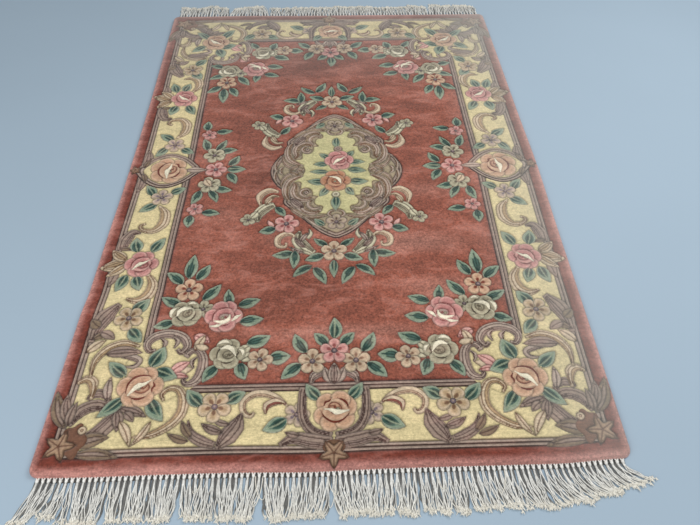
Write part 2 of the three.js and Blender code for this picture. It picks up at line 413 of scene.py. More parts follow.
def leaf(length, width, bend, deep):
    """A leaf with a pale rim: a deep one has a dark heart and light veins, a plain one dark veins."""
    heart_length, heart_width = (0.8, 0.72) if deep else (0.72, 0.56)
    veins = ((-0.14, 0.5), (0.06, 0.86)) if deep else ((-0.2, 0.6), (0.04, 0.84), (0.27, 0.56))
    marks = [Mark(blade(length * 1.06, width * 1.12, bend), "leaf_rim", "leaf", fade=width * 0.16, edge=1.0,
                  lift=0.7)]
    heart = blade(length * heart_length, width * heart_width, bend) + (length * 0.02, width * 0.05)
    marks.append(Mark(heart, "leaf_mid", "leaf_core" if deep else "leaf_mid", fade=width * 0.2, edge=0.2,
                      lift=0.7))
    for number, (spread, reach) in enumerate(veins):
        t = np.linspace(0.08, reach, 7)
        y = spread * width * np.sin(math.pi * t / 0.9) + bend * length * np.sin(math.pi * t)
        colour = "vein" if deep and number else "leaf_core"
        marks.append(line(np.stack([length * t, y], axis=1), colour, 2.8, 0.35))
    return marks


def leaf_between(x, y, tip_x, tip_y, width, deep=True):
    """A leaf from its stalk to its tip."""
    length = math.hypot(tip_x - x, tip_y - y)
    turn = math.degrees(math.atan2(tip_y - y, tip_x - x))
    bend = 0.07 * float(scatter(x + tip_y, 2))
    return placed(leaf(length, width, bend, deep), x, y, turn)


# The dyes of each kind of flower: rim of a petal, its body, its folds.
FLOWER_DYES = {
    "pink": ("pink_light", "pink", "pink_dark"),
    "peach": ("peach_light", "peach", "peach_dark"),
    "beige": ("beige_light", "beige", "beige_dark"),
    "sage": ("sage_light", "sage", "sage_dark"),
    "dusk": ("beige_light", "dusk", "heart"),
    "tan": ("beige_light", "tan", "tan_dark"),
    "rosy": ("pink_light", "pink", "pink_dark"),
    "russet": ("peach", "russet", "russet_dark"),
    "olive": ("taupe_light", "olive", "taupe_dark"),
}


def blossom(radius, kind, turn, petals=5):
    """An open flower of round petals, each darker towards a grey heart."""
    light, body, dark = FLOWER_DYES[kind]
    egg = ring(radius * 0.43, radius * 2.1 / petals, steps=20, at=(radius * 0.58, 0.0))
    egg[:, 1] *= 0.66 + 0.32 * np.clip(egg[:, 0] / (radius * 0.7), 0, 1.2)
    shade = blade(radius * 0.52, radius * 0.3, 0.0, 1.3) + (radius * 0.1, 0.0)
    marks = []
    for k in range(petals):
        angle = turn + 360.0 * k / petals
        marks.append(Mark(turned(egg, angle), light, body, fade=radius * 0.34, edge=1.0, lift=0.9))
        marks.append(Mark(turned(shade, angle), body, dark, fade=3.0, edge=0.1, lift=0.8))
    marks.append(Mark(ring(radius * 0.2, steps=14), "taupe_dark", "heart", fade=3.0, edge=0.7, lift=0.6))
    marks.append(Mark(ring(radius * 0.07, steps=10), "taupe", "taupe", fade=2.0, edge=0.0))
    return marks


# The inside of a rose of radius 1: points and widths of its deep folds.
ROSE_FOLDS = (
    (((-0.54, -0.36), (-0.54, 0.08), (-0.32, 0.42), (0.1, 0.53), (0.48, 0.44)),
     (0.02, 0.08, 0.1, 0.07, 0.01)),
    (((0.5, 0.2), (0.6, 0.02), (0.52, -0.14), (0.56, -0.36)), (0.01, 0.1, 0.08, 0.01)),
    (((-0.36, -0.5), (-0.1, -0.6), (0.14, -0.58), (0.36, -0.48)), (0.01, 0.1, 0.1, 0.01)),
)
# Points and widths of the petal edges that turn over and catch the light, for each kind of rose.
PLAIN_LIGHTS = (
    (((-0.46, -0.46), (-0.22, -0.12), (-0.06, 0.03), (0.16, 0.1), (0.48, 0.34)),
     (0.03, 0.2, 0.26, 0.15, 0.0)),
)
ROSE_LIGHTS = {
    "peach": PLAIN_LIGHTS,
    "rosy": PLAIN_LIGHTS,
    "russet": (
        (((-0.46, 0.4), (-0.1, 0.3), (0.14, 0.2), (0.26, -0.02), (0.34, -0.32)),
         (0.03, 0.16, 0.2, 0.22, 0.02)),),
    "pink": (
        (((-0.46, -0.3), (0.0, -0.38), (0.27, -0.22), (0.32, 0.1)), (0.06, 0.25, 0.22, 0.03)),
        (((0.44, -0.36), (0.66, -0.1), (0.9, 0.06)), (0.03, 0.22, 0.03)),
        (((-0.68, -0.62), (-0.3, -0.62), (0.02, -0.48)), (0.03, 0.19, 0.03))),
    "sage": (
        (((-0.42, 0.3), (-0.04, 0.42), (0.24, 0.26), (0.5, -0.18)), (0.08, 0.28, 0.26, 0.04)),
        (((-0.64, 0.6), (-0.26, 0.8), (0.06, 0.7)), (0.04, 0.26, 0.05)),
        (((0.62, 0.28), (0.84, 0.12), (0.86, -0.14)), (0.03, 0.2, 0.03))),
}


def rose(radius, kind, turn=0.0):
    """A full rose: a ring of petals round a folded cup, with turned-over edges that catch the light."""
    light, body, dark = FLOWER_DYES[kind]
    marks = []
    for k in range(6):
        angle = turn + 60.0 * k + 9 * math.sin(2.1 * k)
        petal = ring(radius * 0.4, radius * (0.46 + 0.03 * math.sin(5 * k)), steps=22, at=(radius * 0.6, 0.0))
        marks.append(Mark(turned(petal, angle), light, body, fade=radius * 0.2, edge=0.9, lift=0.8))
    inner = [Mark(ring(0.58, 0.56, 5, 0.06), light, body, fade=0.22 * radius, edge=0.6, lift=0.9)]
    folds = body if kind == "pink" else dark
    inner += [Mark(ribbon(smooth(points), widths), dark, folds, fade=3.0, edge=0.5, lift=0.2)
              for points, widths in ROSE_FOLDS]
    heart = "dusk" if kind == "pink" else body
    inner.append(Mark(ring(0.34, 0.27, at=(0.08, -0.08)), dark, heart, fade=0.12 * radius,
                      edge=0.6, lift=0.4))
    inner.append(line([(-0.02, -0.2), (0.1, -0.02), (0.16, -0.16), (0.28, -0.02)], dark, 3.0, 0.3))
    inner.append(Mark(ring(0.1, steps=12, at=(-0.04, -0.12)), "sage_dark", "sage", fade=2.0, edge=0.3))
    inner += [Mark(ribbon(smooth(points), widths), "cream", "cream", edge=0.4, lift=1.1)
              for points, widths in ROSE_LIGHTS[kind]]
    return marks + placed(inner, 0, 0, turn, radius)


# The dyes of each kind of scroll: its carved lines, its light outer half, its body.
SCROLL_DYES = {
    "sage": ("sage_dark", "sage_light", "sage"),
    "bronze": ("brown", "bronze", "tan_dark"),
    "blush": ("pink_dark", "pink_light", "pink"),
    "dusk": ("beige_dark", "beige_light", "dusk"),
    "taupe": ("taupe_dark", "taupe_light", "mauve"),
    "mauve": ("taupe_dark", "taupe", "mauve"),
    "tan": ("tan_dark", "beige_light", "tan"),
    "ivory": ("tan_dark", "beige_light", "beige"),
    "umber": ("taupe_dark", "umber", "taupe"),
    "rosy": ("tan_dark", "beige_light", "pink_dark"),
    "pale": ("tan_dark", "taupe_light", "olive"),
}


def scroll(points, widths, lines, kind):
    """A carved band along a few points: a light outer half and a darker, ribbed inner half."""
    dark, light, body = SCROLL_DYES[kind]
    path = smooth(points)
    run = np.diff(path, axis=0)
    inward = 1.0 if np.sum(run[:-1, 0] * run[1:, 1] - run[:-1, 1] * run[1:, 0]) > 0 else -1.0
    spots = np.linspace(0, 1, len(path))
    half = 0.5 * np.interp(spots, np.linspace(0, 1, len(widths)), widths)[:, None]
    marks = [Mark(ribbon(path, widths), body, light, fade=3.4, edge=0.9, lift=0.7)]
    keep = (spots > 0.04) & (spots < 0.96)
    out = sides(path) * inward * half
    if lines:
        inner = np.vstack([(path + out * 0.8)[keep], (path + out * 0.1)[keep][::-1]])
        marks.append(Mark(inner, dark, body, fade=2.6, edge=0.2, lift=0.5))
    for share in (-0.45, 0.45, 0.1)[:max(lines - 1, 0)]:
        marks.append(line((path + out * share)[keep], dark, 2.0, 0.15))
    return marks


def plume(x, y, tip_x, tip_y, width, lines, kind, bend=0.06):
    """A pointed acanthus leaf with ribs."""
    dark, light, body = SCROLL_DYES[kind]
    length = math.hypot(tip_x - x, tip_y - y)
    marks = [Mark(blade(length, width, bend), body, light, fade=3.4, edge=1.0, lift=0.7)]
    if lines > 1:
        marks.append(Mark(blade(length * 0.8, width * 0.55, bend) + (length * 0.04, 0), light, body, fade=5.0,
                          edge=0.0, lift=0.7))
    for k in range(lines):
        share = (2 * (k + 1) / (lines + 1) - 1) * 0.5
        t = np.linspace(0.06, 0.84, 8)
        side = share * width * np.sin(math.pi * t ** 0.8)
        marks.append(line(np.stack([length * t, side + bend * length * np.sin(math.pi * t)], axis=1),
                          dark, 2.2, 0.2))
    return placed(marks, x, y, math.degrees(math.atan2(tip_y - y, tip_x - x)))


def ball(x, y, radius, kind):
    """A round bead with a darker heart."""
    dark, light, body = SCROLL_DYES[kind]
    return placed([Mark(ring(radius, steps=18), dark, light, fade=3.0, edge=0.9, lift=0.8),
                   Mark(ring(radius * 0.4, steps=12), dark, body, fade=2.5, edge=0.3)], x, y)


def star(x, y, radius, turn):
    """A bronze star of five points, each with a carved middle line."""
    dark, light, body = SCROLL_DYES["bronze"]
    angles = np.radians(np.arange(20) * 18.0 + turn)
    reach = radius * np.array([1.0, 0.74, 0.47, 0.74] * 5)
    angles[1::4] -= 0.05
    angles[3::4] += 0.05
    path = np.stack([reach * np.cos(angles), reach * np.sin(angles)], axis=1)
    marks = [Mark(path, body, light, fade=6.0, edge=1.0, lift=0.8)]
    marks += [line([tuple(0.05 * p), tuple(0.86 * p)], dark, 2.6, 0.5) for p in path[::4]]
    return placed(marks, x, y)


def bands(outline_at, steps):
    """Nested patches that make a banded frame: outline_at(inset) gives each outline, and a step is
    its inset, the dyes of its rim and its body, how far in the rim dye reaches and its carving."""
    return [Mark(outline_at(inset), rim, core, fade=fade, edge=edge, lift=0.5)
            for inset, rim, core, fade, edge in steps]


# The layout, in millimetres from the middle of the rug
# Each table holds the near left quarter, which is mirrored to the other three.

# Leaves: stalk x, stalk y, tip x, tip y, width.
FIELD_LEAVES = (
    (-459, -522, -455, -424, 38), (-474, -540, -529, -496, 34), (-434, -528, -401, -466, 34),
    (-464, -622, -528, -592, 32), (-478, -682, -534, -700, 32), (-405, -606, -357, -548, 34),
    (-316, -628, -328, -568, 30), (-293, -630, -230, -608, 34), (-283, -692, -215, -680, 36),
    (-255, -768, -190, -742, 40), (-188, -822, -127, -812, 42), (-268, -830, -249, -882, 36),
    (-328, -838, -364, -888, 32), (-18, -778, -58, -738, 32), (-79, -802, -114, -740, 36),
    (-94, -838, -146, -884, 36), (-130, -418, -200, -428, 32), (-130, -410, -131, -484, 30),
    (-32, -430, -92, -452, 32), (-70, -476, -128, -521, 28), (-66, -484, -28, -550, 32),
    (-20, -392, -66, -360, 24), (-198, -306, -252, -322, 34), (-207, -205, -171, -250, 28),
    (-396, -22, -362, -76, 32), (-435, -98, -372, -112, 32), (-485, -112, -505, -178, 32),
    (-452, -112, -418, -172, 28), (-462, -226, -400, -232, 30), (-500, -236, -499, -292, 34),
)
BORDER_LEAVES = (
    (-357, -962, -402, -914, 36), (-292, -956, -244, -926, 36), (-126, -1003, -186, -1034, 38),
    (-38, -950, -76, -904, 32), (-579, -866, -633, -820, 36), (-571, -930, -627, -984, 34),
    (-501, -936, -456, -1000, 38), (-518, -838, -490, -774, 44), (-500, -846, -440, -872, 40),
    (-608, -648, -568, -598, 40), (-603, -706, -562, -752, 36), (-659, -500, -681, -562, 36),
    (-629, -505, -609, -560, 36), (-644, -402, -660, -342, 40), (-600, -405, -566, -345, 36),
    (-642, -136, -678, -84, 32), (-586, -126, -538, -98, 32), (-624, -176, -678, -214, 34),
)
# Flowers: x, y, radius, kind, turn. The hidden ones lie under the scrolls.
HIDDEN_BLOSSOMS = ((-100, -992, 36, "dusk", 0), (-398, -640, 34, "sage", 15), (-296, -264, 28, "sage", 36))
BLOSSOMS = (
    (-452, -566, 44, "peach", 20), (-212, -822, 38, "beige", 0), (-62, -831, 42, "beige", 90),
    (-163, -287, 44, "pink", 5), (-455, -82, 42, "sage", 30), (-487, -207, 30, "pink", 40),
    (-322, -966, 46, "tan", 54), (-613, -668, 44, "tan", 50), (-614, -146, 40, "dusk", 90),
)
ROSES = (
    (-448, -655, 50, "sage", 60), (-333, -668, 58, "pink", 0), (-307, -800, 52, "sage", 0),
    (-622, -455, 56, "rosy", 0), (-533, -898, 64, "peach", 0),
)
# Scrolls: points, widths, ribs, kind.
FIELD_SCROLLS = (
    (((-200, -128), (-236, -120), (-266, -150), (-258, -202)), (12, 28, 28, 6), 1, "ivory"),
    (((-196, -152), (-220, -150), (-238, -174), (-234, -206)), (6, 16, 18, 6), 1, "tan"),
    (((-210, -192), (-242, -210), (-262, -238), (-262, -276)), (26, 46, 42, 10), 4, "sage"),
    (((-66, -424), (-98, -398), (-120, -362), (-116, -322)), (24, 48, 46, 8), 4, "sage"),
    (((-126, -352), (-156, -334), (-186, -352), (-186, -384), (-164, -392), (-158, -374)),
     (10, 20, 24, 20, 14, 8), 1, "ivory"),
    (((-92, -356), (-80, -336), (-84, -312)), (20, 18, 4), 1, "sage"),
)
BORDER_SCROLLS = (
    (((-512, -782), (-530, -784), (-540, -760), (-522, -736), (-482, -727), (-442, -741), (-425, -770),
      (-438, -792), (-452, -780)), (10, 18, 24, 30, 32, 30, 24, 18, 12), 2, "taupe"),
    (((-424, -808), (-412, -790), (-392, -787), (-375, -812), (-373, -850), (-385, -884), (-408, -895),
      (-421, -882), (-408, -873)), (18, 20, 22, 28, 32, 28, 18, 12, 8), 2, "taupe"),
    (((-506, -741), (-490, -758), (-496, -780)), (4, 17, 5), 1, "taupe"),
    (((-470, -737), (-455, -754), (-462, -777)), (4, 17, 5), 1, "taupe"),
    (((-390, -806), (-404, -824), (-397, -846)), (4, 15, 5), 1, "taupe"),
    (((-462, -944), (-470, -924), (-452, -907), (-426, -912), (-409, -945), (-411, -985), (-437, -1018),
      (-481, -1042), (-526, -1046)), (8, 14, 18, 22, 30, 30, 26, 20, 5), 2, "tan"),
    (((-214, -984), (-224, -995), (-242, -984), (-246, -955), (-222, -932), (-187, -930), (-152, -945),
      (-124, -968)), (8, 14, 18, 20, 22, 22, 18, 5), 1, "ivory"),
    (((-184, -990), (-182, -966), (-158, -954), (-130, -960)), (4, 22, 22, 6), 1, "rosy"),
    (((-387, -1003), (-376, -1040), (-344, -1062), (-309, -1074)), (4, 26, 30, 20), 2, "mauve"),
    (((-304, -1084), (-279, -1052), (-259, -1022), (-247, -985)), (12, 52, 48, 6), 4, "mauve"),
    (((-84, -912), (-87, -960), (-80, -1008), (-54, -1042), (-6, -1058)), (24, 24, 26, 28, 30), 3, "mauve"),
    (((-4, -1074), (-60, -1066), (-104, -1058), (-142, -1076)), (34, 40, 34, 12), 3, "mauve"),
    (((-66, -900), (-56, -878), (-32, -868), (-10, -886)), (10, 26, 26, 14), 2, "taupe"),
    (((-604, -962), (-636, -952), (-672, -966), (-698, -1008)), (24, 36, 38, 20), 3, "mauve"),
    (((-566, -958), (-592, -1004), (-628, -1044), (-676, -1070)), (18, 46, 46, 22), 3, "mauve"),
    (((-664, -936), (-650, -918), (-622, -920), (-606, -942)), (14, 28, 28, 14), 2, "mauve"),
    (((-706, -884), (-682, -872), (-662, -888), (-656, -935)), (10, 28, 30, 8), 2, "tan"),
    (((-676, -868), (-676, -815), (-650, -775), (-606, -757), (-560, -768)), (6, 22, 28, 28, 8), 2, "tan"),
    (((-604, -800), (-574, -804), (-552, -816), (-562, -834), (-592, -834)), (12, 22, 20, 14, 6), 1, "taupe"),
    (((-704, -752), (-700, -704), (-682, -658), (-652, -614)), (16, 46, 58, 20), 4, "mauve"),
    (((-592, -500), (-570, -540), (-577, -582), (-606, -602), (-640, -594)), (12, 34, 40, 28, 8), 2, "tan"),
    (((-700, -392), (-696, -350), (-678, -316), (-652, -318)), (30, 44, 34, 8), 3, "mauve"),
    (((-616, -186), (-588, -225), (-586, -275), (-612, -308), (-648, -304), (-660, -284), (-644, -274)),
     (6, 36, 40, 26, 18, 14, 10), 2, "tan"),
)
# Plumes: stalk x, stalk y, tip x, tip y, width, ribs, kind.
PLUMES = (
    (-574, -962, -499, -990, 30, 2, "mauve"), (-560, -975, -530, -1003, 24, 1, "mauve"),
    (-580, -968, -568, -1030, 30, 2, "mauve"), (-566, -1000, -526, -1072, 26, 1, "tan"),
    (-484, -1002, -526, -1072, 20, 1, "tan"), (-652, -792, -548, -790, 38, 2, "mauve"),
    (-612, -936, -618, -866, 26, 1, "taupe"), (-706, -786, -660, -742, 30, 1, "tan"),
    (-700, -740, -652, -716, 24, 1, "umber"), (-704, -1016, -753, -906, 40, 2, "umber"),
    (-700, -1000, -722, -916, 30, 2, "mauve"), (-698, -1010, -690, -940, 24, 1, "mauve"),
    (-668, -1066, -582, -1044, 42, 2, "umber"), (-660, -1090, -546, -1100, 32, 2, "umber"),
    (-292, -1040, -352, -1012, 26, 2, "mauve"), (-276, -1018, -326, -1000, 18, 1, "mauve"),
    (-372, -1052, -404, -1002, 22, 1, "umber"), (-378, -1062, -436, -1038, 22, 1, "umber"),
    (-90, -1050, -130, -1040, 18, 1, "mauve"), (-6, -900, -28, -850, 28, 1, "taupe"),
    (-690, -700, -722, -668, 32, 1, "umber"), (-684, -716, -638, -742, 30, 1, "mauve"),
    (-672, -442, -754, -470, 50, 4, "tan"), (-672, -436, -728, -392, 38, 3, "tan"),
    (-698, -470, -708, -548, 30, 1, "mauve"), (-706, -388, -662, -394, 18, 1, "umber"),
    (-668, -452, -726, -506, 34, 2, "tan"),
    (-704, -20, -708, -118, 36, 2, "mauve"), (-456, -866, -398, -846, 34, 0, "ivory"),
    (-458, -858, -408, -824, 32, 1, "blush"), (-456, -868, -406, -872, 20, 1, "blush"),
)


def rectangle(half_size, inset):
    """A rectangle about the middle of the rug, moved in by an inset."""
    half_x, half_y = (half - inset for half in half_size)
    return np.array([(-half_x, -half_y), (half_x, -half_y), (half_x, half_y), (-half_x, half_y)], float)


def frames():
    """The two banded frames with the ivory border between them and the field inside."""
    outer = bands(lambda inset: rectangle(OUTER_FRAME, inset), (
        (0.0, "taupe_dark", "taupe_dark", 3, 1.0), (3.5, "taupe_light", "taupe", 4, 0.2),
        (10.5, "taupe_dark", "taupe_dark", 3, 0.7), (14.0, "taupe", "taupe_light", 4, 0.2),
        (21.5, "taupe_dark", "ivory", 5, 1.0)))
    inner = bands(lambda inset: rectangle(INNER_FRAME, inset), (
        (0.0, "taupe_dark", "taupe_dark", 3, 1.0), (3.5, "taupe", "taupe", 4, 0.2),
        (11.0, "taupe_dark", "taupe_dark", 3, 0.7), (14.5, "taupe_light", "mauve", 4, 0.2),
        (21.5, "taupe_dark", "taupe_dark", 3, 0.4), (25.0, "field_dark", "field", 9, 0.8)))
    return outer + inner


def medallion_outline(inset):
    """The lobed outline of the middle medallion, moved in by an inset."""
    quarter = [(0, -343), (22, -336), (56, -314), (90, -280), (126, -238), (168, -196), (187, -172),
               (188, -139), (197, -104), (218, -79), (238, -40), (245, 0)]
    right = quarter + [(x, -y) for x, y in quarter[-2::-1]]
    whole = np.array(right + [(-x, y) for x, y in right[-2:0:-1]], float)
    path = smooth(whole, 4, closed=True)
    out = sides(np.vstack([path[-1], path, path[0]]))[1:-1]
    return path + out * inset


def medallion_cream():
    """The scalloped cream ground in the middle of the medallion."""
    quarter = [(0, -206), (-14, -207), (-24, -215), (-28, -227), (-48, -229), (-72, -224), (-56, -212),
               (-49, -199), (-54, -189), (-72, -184), (-80, -167), (-75, -150), (-68, -140), (-86, -136),
               (-88, -116), (-96, -101), (-108, -95), (-120, -98), (-129, -106), (-131, -86), (-130, -70),
               (-140, -62), (-160, -66), (-157, -48), (-145, -36), (-128, -27), (-121, -10), (-119, 0)]
    left = quarter + [(x, -y) for x, y in quarter[-2::-1]]
    whole = smooth(left + [(-x, y) for x, y in left[-2:0:-1]], 3, closed=True)
    return Mark(whole, "tan_dark", "ivory_pale", fade=5, edge=0.8, lift=0.2)


# The scrolls of a quarter of the medallion: points, widths, ribs.
MEDALLION_SCROLLS = (
    (((-52, -208), (-78, -222), (-106, -213), (-122, -188), (-118, -160), (-96, -142)),
     (6, 26, 38, 44, 36, 10), 4),
    (((-58, -196), (-80, -201), (-96, -188), (-97, -169), (-84, -152)), (8, 14, 18, 18, 6), 1),
    (((-162, -62), (-150, -84), (-152, -112), (-144, -138), (-122, -154), (-100, -152), (-92, -136)),
     (6, 26, 36, 34, 30, 22, 8), 4),
    (((-94, -120), (-106, -104), (-121, -107), (-128, -122), (-118, -136), (-106, -134)),
     (5, 12, 14, 15, 12, 6), 1),
    (((-124, -28), (-150, -40), (-174, -62), (-184, -98), (-180, -136), (-164, -168)),
     (6, 22, 30, 30, 22, 5), 3),
    (((-122, 0), (-150, -14), (-180, -28), (-198, -58), (-202, -90)), (14, 26, 22, 16, 5), 2),
    (((-214, -74), (-228, -36), (-224, 0)), (4, 12, 12), 1),
    (((-196, -22), (-206, -12), (-208, 0)), (4, 14, 16), 1),
    (((-32, -236), (-74, -244), (-110, -238), (-146, -210), (-164, -186)), (6, 16, 22, 20, 4), 2),
    (((-4, -212), (-20, -216), (-26, -232), (-12, -244)), (5, 12, 14, 6), 1),
    (((-30, -312), (-76, -274), (-116, -236)), (5, 16, 5), 1),
)
# The leaves round its roses: stalk x, stalk y, tip x, tip y, width.
MEDALLION_LEAVES = (
    (-34, 30, -84, 34, 26), (-26, 68, -62, 96, 24), (-30, -10, -96, -6, 24), (-40, -62, -104, -56, 32),
    (-34, -94, -60, -136, 27), (44, 40, 104, 44, 26), (36, 76, 66, 110, 24), (42, 2, 106, -6, 30),
    (46, -56, 112, -62, 32), (38, -94, 62, -132, 27), (-3, -140, -3, -208, 31), (4, 190, 6, 128, 27),
)
MEDALLION_SHIFT = (8, -15)  # it was knotted a little off the middle


def medallion():
    """The middle medallion, its scrolls and its two roses."""
    marks = bands(medallion_outline, (
        (0.0, "taupe_dark", "taupe_dark", 3, 1.0), (3.5, "taupe_light", "taupe", 4, 0.3),
        (10.0, "taupe_dark", "taupe_dark", 3, 0.7), (13.5, "taupe_light", "taupe", 4, 0.3),
        (22.0, "taupe_dark", "olive", 6, 0.8)))
    marks.append(medallion_cream())
    quarter = []
    for points, widths, ribs in MEDALLION_SCROLLS:
        quarter += scroll(points, widths, ribs, "pale")
    quarter += plume(-116, -196, -164, -142, 32, 3, "taupe") + plume(-140, -24, -176, 0, 22, 2, "pale")
    quarter += ball(-109, -119, 9, "taupe") + leaf_between(-40, -282, -74, -252, 25)
    marks += mirrored(quarter)
    marks += mirrored(placed(blossom(37, "olive", turn=90), 0, -267), across=False)
    for row in MEDALLION_LEAVES:
        marks += leaf_between(*row)
    marks += ball(-3, -131, 15, "sage") + ball(8, 122, 17, "mauve")
    marks += placed(rose(56, "rosy", 5), 10, 56) + placed(rose(57, "russet"), -4, -57)
    return placed(marks, *MEDALLION_SHIFT)


def corner_bulge():
    """Ivory ground that swells out of each border corner into the field."""
    points = [(-560, -770), (-538, -738), (-482, -722), (-438, -736), (-412, -784), (-384, -792),
              (-366, -850), (-384, -898), (-420, -926), (-500, -960), (-580, -930), (-590, -840)]
    return [Mark(smooth(points, 5, closed=True), "ivory", "ivory", edge=0.6, lift=0.3)]


# Small petals and ribbons of the field sprays, drawn under their flowers, in the columns of PLUMES.
SPRAY_PETALS = (
    (-412, -736, -362, -762, 32, 1, "blush"), (-400, -788, -374, -732, 28, 1, "rosy"),
    (-362, -780, -404, -768, 22, 0, "ivory"), (-276, -806, -238, -772, 34, 1, "sage"),
    (-266, -826, -222, -800, 30, 1, "sage"), (-472, 52, -446, 92, 30, 1, "dusk"),
    (-476, -44, -450, -110, 30, 1, "dusk"), (-436, -52, -424, -112, 28, 1, "sage"),
    (-268, -226, -292, -262, 30, 1, "sage"), (-204, -300, -228, -268, 18, 0, "blush"),
    (-98, -420, -150, -392, 16, 1, "taupe"), (-96, -398, -132, -346, 20, 2, "taupe"),
    (-112, -372, -84, -330, 18, 1, "taupe"), (-240, -196, -214, -150, 16, 1, "tan"),
)


def quarter_marks():
    """Everything that is mirrored to all four quarters."""
    marks = corner_bulge()
    for x, y, radius, kind, turn in HIDDEN_BLOSSOMS:
        marks += placed(blossom(radius, kind, turn=turn), x, y)
    for points, widths, ribs, kind in BORDER_SCROLLS + FIELD_SCROLLS:
        marks += scroll(points, widths, ribs, kind)
    for x, y, tip_x, tip_y, width, ribs, kind in PLUMES + SPRAY_PETALS:
        marks += plume(x, y, tip_x, tip_y, width, ribs, kind)
    # The star hides the frame's corner: the guard's red comes in under it, with a brown patch beside it.
    marks += placed([Mark(ring(20, 18), "guard", "guard", edge=0.0, lift=0.0)], -714, -1094)
    marks += placed([Mark(ring(32, 46, 5, 0.14), "brown", "brown", edge=0.5)], -672, -1052)
    marks += star(-704, -1066, 44, 4)
    marks += ball(-656, -1023, 12, "ivory")
    for row in FIELD_LEAVES:
        marks += leaf_between(*row, deep=False)
    for row in BORDER_LEAVES:
        marks += leaf_between(*row)
    for x, y, radius, kind, turn in BLOSSOMS:
        marks += placed(blossom(radius, kind, turn=turn), x, y)
    for x, y, radius, kind, turn in ROSES:
        marks += placed(rose(radius, kind, turn), x, y)
    return marks


def end_marks():
    """What stands on the long middle line, mirrored to the far end."""
    marks = placed([Mark(ring(30, 20, steps=16), "brown", "tan_dark", edge=0.4)], 0, -1084)
    marks += star(0, -1100, 42, 270)
    marks += plume(0, -905, 0, -836, 36, 3, "taupe", 0.0)
    marks += placed(rose(61, "peach", 135), 3, -984)
    marks += leaf_between(0, -757, 0, -685, 36) + leaf_between(0, -452, 0, -524, 26)
    marks += placed(blossom(42, "pink", turn=90), 0, -798) + placed(blossom(44, "beige", turn=90), 0, -415)
    return marks


def cartouche_outline(inset):
    """The pointed oval round the rose in the middle of each side, drawn in by an inset."""
    upper = [(-496, 0), (-524, 42), (-562, 76), (-616, 97), (-668, 82), (-708, 46), (-736, 0)]
    path = np.array(upper + [(x, -y) for x, y in upper[-2:0:-1]], float)
    centre, half_height = np.array([-612.0, 0.0]), 100.0
    return smooth(centre + (path - centre) * (1 - inset / half_height), 4, closed=True)


def side_marks():
    """What stands on the cross middle line, mirrored to the other side."""
    marks = bands(cartouche_outline, (
        (0.0, "taupe_dark", "taupe_dark", 3, 1.0), (3.5, "taupe_light", "taupe", 4, 0.2),
        (11.0, "taupe_dark", "taupe_dark", 3, 0.6), (14.5, "taupe", "taupe_light", 4, 0.2),
        (22.0, "tan_dark", "ivory", 5, 0.8)))
    marks += star(-738, 4, 26, 180)
    for side in (-1, 1):
        marks += plume(-706, 16 * side, -690, 64 * side, 20, 1, "umber")
    marks += plume(-552, 0, -472, 0, 30, 1, "taupe", 0.0)
    marks += placed(rose(72, "peach", 45), -614, 0)
    marks += leaf_between(-400, 0, -333, 0, 36)
    marks += placed(blossom(42, "pink", turn=0), -441, 0)
    return marks


def pattern():
    """The whole pattern in drawing order, ground first."""
    return (frames() + mirrored(quarter_marks()) + mirrored(end_marks(), across=False)
            + mirrored(side_marks(), along=False) + medallion())


# Painting the pattern onto the tuft grid

def nearest_step(path, x, y):
    """Distance and step from each point to the nearest spot of a path."""
    ax, ay = path[:-1, 0], path[:-1, 1]
    dx, dy = np.diff(path, axis=0).T
    rx, ry = x[:, None] - ax, y[:, None] - ay
    t = np.clip((rx * dx + ry * dy) / np.maximum(dx * dx + dy * dy, 1e-9), 0, 1)
    ex, ey = t * dx - rx, t * dy - ry
    d2 = ex * ex + ey * ey
    best = np.argmin(d2, axis=1)
    rows = np.arange(len(x))
    return np.sqrt(d2[rows, best]), ex[rows, best], ey[rows, best]


def within(path, x, y):
    """Which points lie inside a closed path."""
    ax, ay = path[:-1, 0], path[:-1, 1]
    bx, by = path[1:, 0], path[1:, 1]
    crosses = (ay > y[:, None]) != (by > y[:, None])
    slope = (bx - ax) / np.where(by == ay, 1e-9, by - ay)
    return np.count_nonzero(crosses & (x[:, None] < ax + slope * (y[:, None] - ay)), axis=1) % 2 == 1


def outline_of(mark):
    """The path that a mark's edge runs along: closed for a patch, open for a line."""
    return mark.path if mark.width else np.vstack([mark.path, mark.path[:1]])


